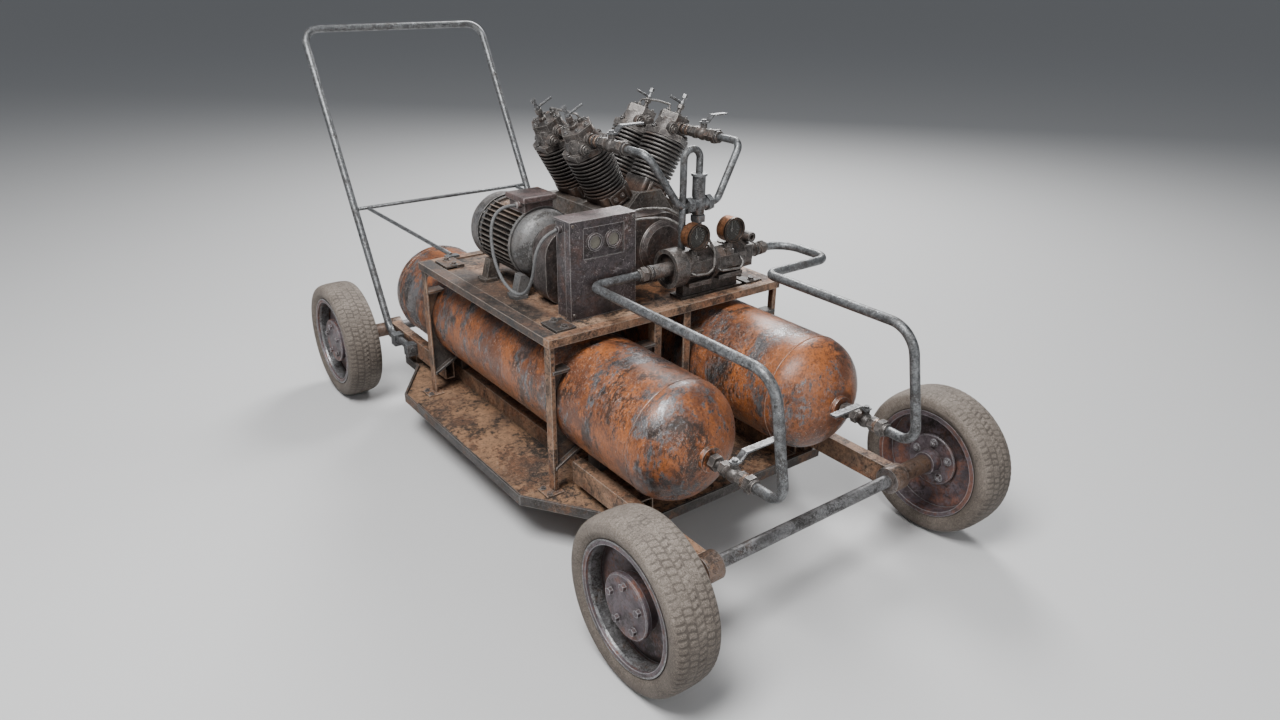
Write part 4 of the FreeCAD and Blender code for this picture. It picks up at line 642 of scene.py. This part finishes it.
def add_tyres():
    """Treaded tyres in place of the four plain CAD ones."""
    for corner in CORNERS:
        low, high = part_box(corner + "_tyre")
        centre = (Vector(low) + Vector(high)) / 2
        outer = (high[2] - low[2]) / 2
        half = (high[0] - low[0]) / 2
        mesh = tyre_mesh(corner + "_tread_tyre", centre, half - SIDE_GAP, outer - CROWN_GAP)
        piece = new_piece(corner + "_tread_tyre", mesh, "tyre", corner + "_rolling")
        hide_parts(corner + "_tyre")


# ---- small pieces ----
def joined(parts):
    """One mesh from several boxes and cylinders given as (bmesh builder, matrix) pairs."""
    shape = bmesh.new()
    for build, place in parts:
        made = build(shape)
        bmesh.ops.transform(shape, matrix=place, verts=made)
    return shape


def block(size):
    """A builder for a box."""
    def build(shape):
        made = bmesh.ops.create_cube(shape, size=1.0)["verts"]
        bmesh.ops.scale(shape, vec=size, verts=made)
        return made
    return build


def disc(radius, depth, sides=32, top=1.0):
    """A builder for a round or many-sided plug; top is the far end's share of the radius."""
    def build(shape):
        made = bmesh.ops.create_cone(shape, cap_ends=True, segments=sides, radius1=radius,
                                     radius2=radius * top, depth=depth)
        return made["verts"]
    return build


def mesh_from(name, shape, width=0.0002):
    """The finished mesh, with its sharp edges slightly rounded."""
    sharp = [edge for edge in shape.edges if edge.calc_face_angle(0) > math.radians(35)]
    bmesh.ops.bevel(shape, geom=sharp, offset=width, segments=1, affect="EDGES")
    mesh = bpy.data.meshes.new(name)
    shape.to_mesh(mesh)
    shape.free()
    return mesh


ALONG_Y = Matrix.Rotation(math.radians(-90), 4, "X")
AGAINST_Y = Matrix.Rotation(math.radians(90), 4, "X")
ALONG_X = Matrix.Rotation(math.radians(90), 4, "Y")
GAUGE_DIAL_R, METER_DIAL_R = 0.0235, 0.0124
DIAL_DARK, DIAL_PALE, MARK_PALE = (0.036, 0.032, 0.028), (0.20, 0.185, 0.15), (0.34, 0.34, 0.32)


def add_dial(name, centre, radius, ticks, face_colour, mark_colour):
    """A dial with marks over three quarters of a turn, facing the cart's front."""
    face = joined([(disc(radius, 0.0003, 64), Matrix.Translation(centre) @ AGAINST_Y)])
    piece = new_piece(name + "_face", mesh_from(name + "_face", face, 0.00005), "needle", "chassis")
    piece.data.materials[0] = ink(name + "_paint", face_colour)
    parts = []
    dial = Matrix.Translation(centre + Vector((0, -0.0002, 0)))
    for k in range(ticks):
        angle = math.radians(-135 + 270 * k / (ticks - 1))
        long = radius * (0.24 if k % 2 == 0 else 0.13)
        spoke = Matrix.Rotation(angle, 4, "Y") @ Matrix.Translation((0, 0, radius * 0.88 - long / 2))
        parts.append((block((radius * 0.035, 0.0002, long)), dial @ spoke))
    mesh = mesh_from(name + "_marks", joined(parts), 0.00002)
    marks = new_piece(name + "_marks", mesh, "needle", "chassis")
    marks.data.materials[0] = ink(name + "_ink", mark_colour)


def add_dials():
    """The dials of the two gauges and of the two panel meters."""
    for joint in frame["joints"]:
        if joint["name"].startswith("needle_"):
            centre = Vector(joint["pos_m"]) + Vector((0, 0.0018, 0))
            name = joint["name"].replace("_turn", "_dial")
            add_dial(name, centre, GAUGE_DIAL_R, 17, DIAL_DARK, MARK_PALE)
    for side, x in zip(("left", "right"), METER_XS):
        centre = Vector((x, BOX_FRONT_Y + 0.4, METER_Z)) * MM
        add_dial("meter_" + side, centre, METER_DIAL_R, 9, DIAL_PALE, DIAL_DARK)


def ring_mesh(name, centre, radius, thickness):
    """A weld bead: a slightly uneven ring round the Y axis."""
    shape = bmesh.new()
    around, across = 160, 8
    rows = []
    rnd = random.Random(7)
    for k in range(around):
        turn = 2 * math.pi * k / around
        swell = thickness * (0.85 + 0.3 * rnd.random())
        row = []
        for j in range(across):
            angle = 2 * math.pi * j / across
            r = radius + swell * math.cos(angle) * 0.6
            row.append(shape.verts.new((centre.x + r * math.cos(turn), centre.y + swell * math.sin(angle),
                                        centre.z + r * math.sin(turn))))
        rows.append(row)
    for k in range(around):
        for j in range(across):
            n, m = (k + 1) % around, (j + 1) % across
            face = shape.faces.new((rows[k][j], rows[k][m], rows[n][m], rows[n][j]))
            face.smooth = True
    bmesh.ops.recalc_face_normals(shape, faces=shape.faces)
    mesh = bpy.data.meshes.new(name)
    shape.to_mesh(mesh)
    shape.free()
    return mesh


TANK_HEAD = 0.088
TANK_BOSS = 0.004


def add_tank_seams():
    """The weld beads where each tank's heads meet its wall."""
    for side in ("left", "right"):
        low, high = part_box("tank_" + side)
        radius = (high[0] - low[0]) / 2
        centre_x, centre_z = (low[0] + high[0]) / 2, (low[2] + high[2]) / 2
        seams = {"front": low[1] + 2 * TANK_BOSS + TANK_HEAD, "rear": high[1] - TANK_BOSS - TANK_HEAD}
        for end, y in seams.items():
            name = "tank_seam_" + side + "_" + end
            mesh = ring_mesh(name, Vector((centre_x, y, centre_z)), radius, 0.0022)
            new_piece(name, mesh, "tank", "chassis")


# ---- small hardware ----
BRASS = weathered(
    "brassy_nut",
    worn=((0.36, 0.24, 0.18), (0.20, 0.14, 0.11)),
    rust=((0.11, 0.07, 0.05), (0.06, 0.044, 0.036)),
    pale=(0.68, 0.58, 0.50), edge=(0.66, 0.55, 0.47),
    patch=40, rusting=0.28, flecks=0.5, edge_width=0.001, metal=0.75, rough=(0.26, 0.5), pits=0.25)
DARK_STEEL = weathered(
    "dark_hardware",
    worn=((0.055, 0.052, 0.052), (0.032, 0.03, 0.03)),
    rust=((0.10, 0.06, 0.042), (0.06, 0.042, 0.034)),
    pale=(0.30, 0.29, 0.28), edge=(0.34, 0.33, 0.32),
    patch=30, rusting=0.3, flecks=0.35, edge_width=0.001, metal=0.5, rough=(0.34, 0.62), pits=0.3)


def hardware(name, slot, body, parts, finish=None, width=0.0003):
    """Several small solids as one piece; finish takes the place of the slot's own material."""
    piece = new_piece(name, mesh_from(name, joined(parts), width), slot, body)
    if finish:
        piece.data.materials[0] = finish


def at(x, y, z):
    """A shift given in millimetres."""
    return Matrix.Translation((x * MM, y * MM, z * MM))


def bolt_parts(place, across=11.0, height=5.0):
    """A washer, a hexagon head and a domed end that stand along Z of a frame."""
    return [(disc(across * 0.78 * MM, 1.6 * MM, 20), place @ at(0, 0, 0.6)),
            (disc(across * 0.57 * MM, height * MM, 6), place @ at(0, 0, height / 2 + 1)),
            (disc(across * 0.30 * MM, 2.4 * MM, 12, 0.7), place @ at(0, 0, height + 2))]


def bent_line(points, radius, steps=7):
    """The middle line of a rigid tube, its corners replaced by small curves."""
    places = [Vector(point) * MM for point in points]
    route = [places[0]]
    for before, corner, after in zip(places, places[1:], places[2:]):
        into, out = (before - corner).normalized(), (after - corner).normalized()
        start, end = corner + into * radius * MM, corner + out * radius * MM
        for k in range(steps + 1):
            t = k / steps
            route.append(start * (1 - t) ** 2 + corner * 2 * t * (1 - t) + end * t ** 2)
    return route + [places[-1]]


def thin_tube(points, radius, bend, sides=12):
    """A builder for a rigid bent tube through points in millimetres."""
    def build(shape):
        route = bent_line(points, bend)
        rings = []
        side = (route[1] - route[0]).orthogonal().normalized()
        for k, here in enumerate(route):
            ahead = (route[min(k + 1, len(route) - 1)] - route[max(k - 1, 0)]).normalized()
            side = (side - ahead * side.dot(ahead)).normalized()
            other = ahead.cross(side)
            rings.append([shape.verts.new(here + (side * math.cos(a) + other * math.sin(a)) * radius * MM)
                          for a in (2 * math.pi * j / sides for j in range(sides))])
        for first, second in zip(rings, rings[1:]):
            for j in range(sides):
                m = (j + 1) % sides
                shape.faces.new((first[j], first[m], second[m], second[j])).smooth = True
        shape.faces.new(rings[0][::-1])
        shape.faces.new(rings[-1])
        return [vert for row in rings for vert in row]
    return build


def bank(side, y):
    """The frame of one leaning cylinder, its Z along the bore."""
    return at(CRANK_X, y, CRANK_Z) @ Matrix.Rotation(side * LEAN, 4, "Y")


def add_head_hardware():
    """The bolts, plugs and cover frames of each cylinder."""
    bolts, plugs, covers = [], [], []
    for side in (-1, 1):
        for y in CYLINDER_YS:
            here = bank(side, y)
            for k in range(6):
                x_share, y_share = math.cos(math.radians(60 * k)), math.sin(math.radians(60 * k))
                rim_place = at(HEAD_BOLT_R * x_share, HEAD_BOLT_R * y_share, HEAD_FOOT + 14)
                cover_place = at(COVER_BOLT_R * x_share, COVER_BOLT_R * y_share, HEAD_TOP)
                bolts += bolt_parts(here @ rim_place, 9.0, 5.0)
                bolts += bolt_parts(here @ cover_place, 7.0, 3.5)
            plug = here @ at(-23, -38, HEAD_FOOT + 22) @ ALONG_Y
            plugs += [(disc(13 * MM, 14 * MM, 28), plug @ at(0, 0, 2)),
                      (disc(10 * MM, 5 * MM, 24, 0.85), plug @ at(0, 0, -6.5)),
                      (disc(5 * MM, 4 * MM, 6), plug @ at(0, 0, -9.5))]
            low, high = FOOT_LOW + 5, FOOT_HIGH - 2
            middle = (low + high) / 2
            for x in (-22, 22):
                covers.append((block((4 * MM, 3 * MM, (high - low) * MM)), here @ at(x, -44, middle)))
            for z in (low + 2, high - 2):
                covers.append((block((44 * MM, 3 * MM, 4 * MM)), here @ at(0, -44, z)))
            for x in (-10, 10):
                covers += bolt_parts(here @ at(x, -43, middle) @ AGAINST_Y, 8.0, 4.0)
    hardware("head_bolts", "fitting", "chassis", bolts, DARK_STEEL)
    hardware("head_plugs", "fitting", "chassis", plugs)
    hardware("foot_cover_frames", "casting", "chassis", covers)


def add_balance_tubes():
    """A thin tube between the two heads of each bank."""
    parts = []
    for side in (-1, 1):
        front, rear = CYLINDER_YS
        x = side * -19
        run = [(x, front + 6, HEAD_TOP - 2), (x, front + 6, HEAD_TOP + 17),
               (x + side * 5, (front + rear) / 2, HEAD_TOP + 22),
               (x, rear - 6, HEAD_TOP + 17), (x, rear - 6, HEAD_TOP - 2)]
        here = bank(side, 0)
        parts.append((thin_tube(run, 2.4, 8), here))
        for y in (front + 6, rear - 6):
            parts.append((disc(5.5 * MM, 8 * MM, 6), here @ at(x, y, HEAD_TOP + 4)))
    hardware("balance_tubes", "sense", "chassis", parts)


def add_line_rings():
    """Brassy rings and dark collars on the discharge lines and beside the tank valves."""
    brass, dark = [], []
    for side in (-1, 1):
        x = CRANK_X + side * HEAD_PORT_RISE * math.sin(LEAN)
        z = CRANK_Z + HEAD_PORT_RISE * math.cos(LEAN)
        rings = ((HEAD_PORT_Y - 8, 11.5, 5), (HEAD_PORT_Y - 22, 12, 8), (VALVE_Y - 34, 12.8, 6))
        for y, radius, wide in rings:
            brass.append((disc(radius * MM, wide * MM, 28), at(x, y, z) @ ALONG_Y))
        for y, radius in ((HEAD_PORT_Y - 15, 13.0), (HEAD_PORT_Y - 33, 12.4), (VALVE_Y - 50, 13.2)):
            dark.append((disc(radius * MM, 4 * MM, 28), at(x, y, z) @ ALONG_Y))
    for side in (-1, 1):
        for y, wide in TANK_RINGS:
            brass.append((disc(13.2 * MM, wide * MM, 28), at(side * TANK_X, y, TANK_Z) @ ALONG_Y))
    for x in REG_COLLAR_XS:
        dark.append((disc(16.5 * MM, 5 * MM, 28), at(x, REG_Y, REG_Z) @ ALONG_X))
    hardware("line_rings", "fitting", "chassis", brass, BRASS)
    hardware("line_collars", "fitting", "chassis", dark, DARK_STEEL)


# A pale grey steel for the rims' liners: a painted highlight that stands in for light falling on the rims' inner
# barrels.
PAINTED_RIM_HIGHLIGHT = weathered(
    "rim_painted_highlight",
    worn=((0.26, 0.26, 0.265), (0.13, 0.128, 0.13)),
    rust=((0.09, 0.06, 0.046), (0.05, 0.038, 0.034)),
    pale=(0.55, 0.55, 0.55), edge=(0.5, 0.5, 0.5),
    patch=24, rusting=0.34, flecks=0.6, edge_width=0.001, metal=0.6, rough=(0.26, 0.52), pits=0.4)


def turned(outline, sides=96):
    """A builder for a ring turned about Z from (radius, height) points in millimetres."""
    def build(shape):
        rings = []
        for k in range(sides):
            turn = 2 * math.pi * k / sides
            x, y = math.cos(turn) * MM, math.sin(turn) * MM
            rings.append([shape.verts.new((r * x, r * y, z * MM)) for r, z in outline])
        for k in range(sides):
            first, second = rings[k], rings[(k + 1) % sides]
            for j in range(len(outline)):
                m = (j + 1) % len(outline)
                shape.faces.new((first[j], second[j], second[m], first[m]))
        return [vert for ring in rings for vert in ring]
    return build


def add_wheel_details():
    """The pale liner of each rim, a painted highlight on its inner barrel, and the bolted plate behind each wheel.
    """
    for corner in CORNERS:
        low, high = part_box(corner + "_wheel")
        side = -1 if corner.endswith("left") else 1
        y, z = (low[1] + high[1]) / 2 / MM, (low[2] + high[2]) / 2 / MM
        outward = at(side * WHEEL_X, y, z) @ Matrix.Rotation(side * math.radians(90), 4, "Y")
        # The liner is a pale ring over the rim's inner barrel, a painted highlight.
        liner = turned([(106.9, 8), (106.0, 9), (105.6, 30), (108.5, 39.2),
                        (116.6, 40.4), (116.8, 39), (112, 37), (106.9, 30)])
        body = corner + "_rolling"
        hardware(corner + "_rim_liner", "wheel", body, [(liner, outward)], PAINTED_RIM_HIGHLIGHT, 0.0001)
        plate = [(turned([(24.2, -15), (24.2, -7), (56, -7), (56, -13), (54, -15)]), outward)]
        for k in range(5):
            turn = math.radians(72 * k + 36)
            x, y = BACK_BOLT_R * math.cos(turn), BACK_BOLT_R * math.sin(turn)
            place = outward @ at(x, y, BACK_PLATE_FACE)
            plate += bolt_parts(place @ Matrix.Rotation(math.pi, 4, "X"), 11.0, 5.0)
        hardware(corner + "_back_plate", "wheel", body, plate)


def add_gauge_nuts():
    """The nuts and rings under the gauges and behind them."""
    parts = []
    for x in GAUGE_XS:
        parts += [(disc(10 * MM, 9 * MM, 6), at(x, GAUGE_STEM_Y, GAUGE_Z - 34)),
                  (disc(8.2 * MM, 5 * MM, 20), at(x, GAUGE_STEM_Y, GAUGE_Z - 42)),
                  (disc(9.5 * MM, 6 * MM, 6), at(x, REG_Y - 12, GAUGE_Z) @ ALONG_Y)]
    hardware("gauge_nuts", "fitting", "chassis", parts)


def add_box_details():
    """The door seams on the control box's left side and the screws at its front corners."""
    seams = []
    for y in (BOX_FRONT_Y + 17, BOX_FRONT_Y + 22):
        seams.append((block((1.2 * MM, 1.4 * MM, 188 * MM)), at(BOX_X0 - 0.4, y, BOX_TOP - 100)))
    hardware("box_seams", "control_box", "chassis", seams, DARK_STEEL)
    screws = []
    for x in (BOX_X0 + 4, BOX_X1 - 4):
        for z in (BOX_TOP - 190, BOX_TOP - 8):
            screws.append((disc(3.6 * MM, 2.2 * MM, 16, 0.8), at(x, BOX_FRONT_Y - 0.6, z) @ ALONG_Y))
    hardware("box_screws", "fitting", "chassis", screws)


# ---- motor cable ----
CABLE_DIAMETER = 0.0068
CABLE_ROUTE = [
    (-204, -103, 636), (-223, -103, 637), (-243, -104, 632), (-259, -107, 618), (-268, -112, 597),
    (-272, -118, 571), (-273, -126, 543), (-271, -136, 517), (-267, -149, 495), (-262, -166, 481),
    (-258, -186, 475), (-255, -207, 479), (-255, -227, 492), (-256, -245, 512), (-258, -260, 536),
    (-261, -272, 561), (-262, -281, 586), (-254, -286, 608), (-238, -287, 622), (-217, -285, 627)]


def add_cable():
    """The lead that hangs from the motor's terminal box to the control box."""
    curve = bpy.data.curves.new("motor_lead", "CURVE")
    curve.dimensions = "3D"
    curve.bevel_depth = CABLE_DIAMETER / 2
    curve.bevel_resolution = 6
    curve.resolution_u = 16
    curve.use_fill_caps = True
    spline = curve.splines.new("NURBS")
    spline.points.add(len(CABLE_ROUTE) - 1)
    for point, place in zip(spline.points, CABLE_ROUTE):
        point.co = (place[0] * MM, place[1] * MM, place[2] * MM, 1)
    spline.order_u = 3
    spline.use_endpoint_u = True
    curve.materials.append(MATERIALS["cable"])
    lead = bpy.data.objects.new("motor_lead", curve)
    bpy.context.scene.collection.objects.link(lead)
    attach(lead, "chassis")
    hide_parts("motor_cable")


# ---- stage, light and camera ----
# The eye is in metres, the angles in degrees and the lens in millimetres.
EYE = Vector((-1.0886, -1.7179, 1.1015))
YAW, PITCH, ROLL = 36.96, 24.16, 0.56
LENS = 24.92


def add_camera():
    """The photograph's viewpoint."""
    data = bpy.data.cameras.new("view")
    data.sensor_width = 36.0
    data.lens = LENS
    camera = bpy.data.objects.new("view", data)
    turn = Matrix.Rotation(math.radians(-YAW), 4, "Z")
    tip = Matrix.Rotation(math.radians(90 - PITCH), 4, "X")
    roll = Matrix.Rotation(math.radians(ROLL), 4, "Z")
    camera.matrix_world = Matrix.Translation(EYE) @ turn @ tip @ roll
    bpy.context.scene.collection.objects.link(camera)
    bpy.context.scene.camera = camera


def area_light(name, place, target, size, power):
    """A square lamp that faces a target."""
    data = bpy.data.lights.new(name, "AREA")
    data.size = size
    data.energy = power
    lamp = bpy.data.objects.new(name, data)
    lamp.location = place
    lamp.rotation_euler = (Vector(target) - Vector(place)).to_track_quat("-Z", "Y").to_euler()
    bpy.context.scene.collection.objects.link(lamp)


def add_stage():
    """A pale floor under soft light from above and both sides."""
    shader = Shader("pale_floor")
    shader.finish((0.55, 0.55, 0.55), 0.85)
    mesh = bpy.data.meshes.new("floor")
    reach = 60.0
    corners = [(-reach, -reach, 0), (reach, -reach, 0), (reach, reach, 0), (-reach, reach, 0)]
    mesh.from_pydata(corners, [], [(0, 1, 2, 3)])
    mesh.materials.append(shader.material)
    floor = bpy.data.objects.new("floor", mesh)
    bpy.context.scene.collection.objects.link(floor)
    world = bpy.data.worlds.new("soft_room")
    world.use_nodes = True
    background = world.node_tree.nodes["Background"]
    background.inputs["Color"].default_value = (0.72, 0.76, 0.82, 1)
    background.inputs["Strength"].default_value = 0.24
    bpy.context.scene.world = world
    area_light("key", (-1.6, -0.9, 3.3), (0, 0, 0.3), 1.5, 190)
    area_light("rim", (2.2, 1.9, 2.8), (0, 0, 0.4), 1.4, 170)
    area_light("fill", (-0.6, -3.6, 1.8), (0, 0, 0.3), 2.4, 45)


dress_frame()
add_tyres()
add_tank_seams()
add_dials()
add_head_hardware()
add_balance_tubes()
add_line_rings()
add_wheel_details()
add_gauge_nuts()
add_box_details()
add_cable()
add_stage()
add_camera()
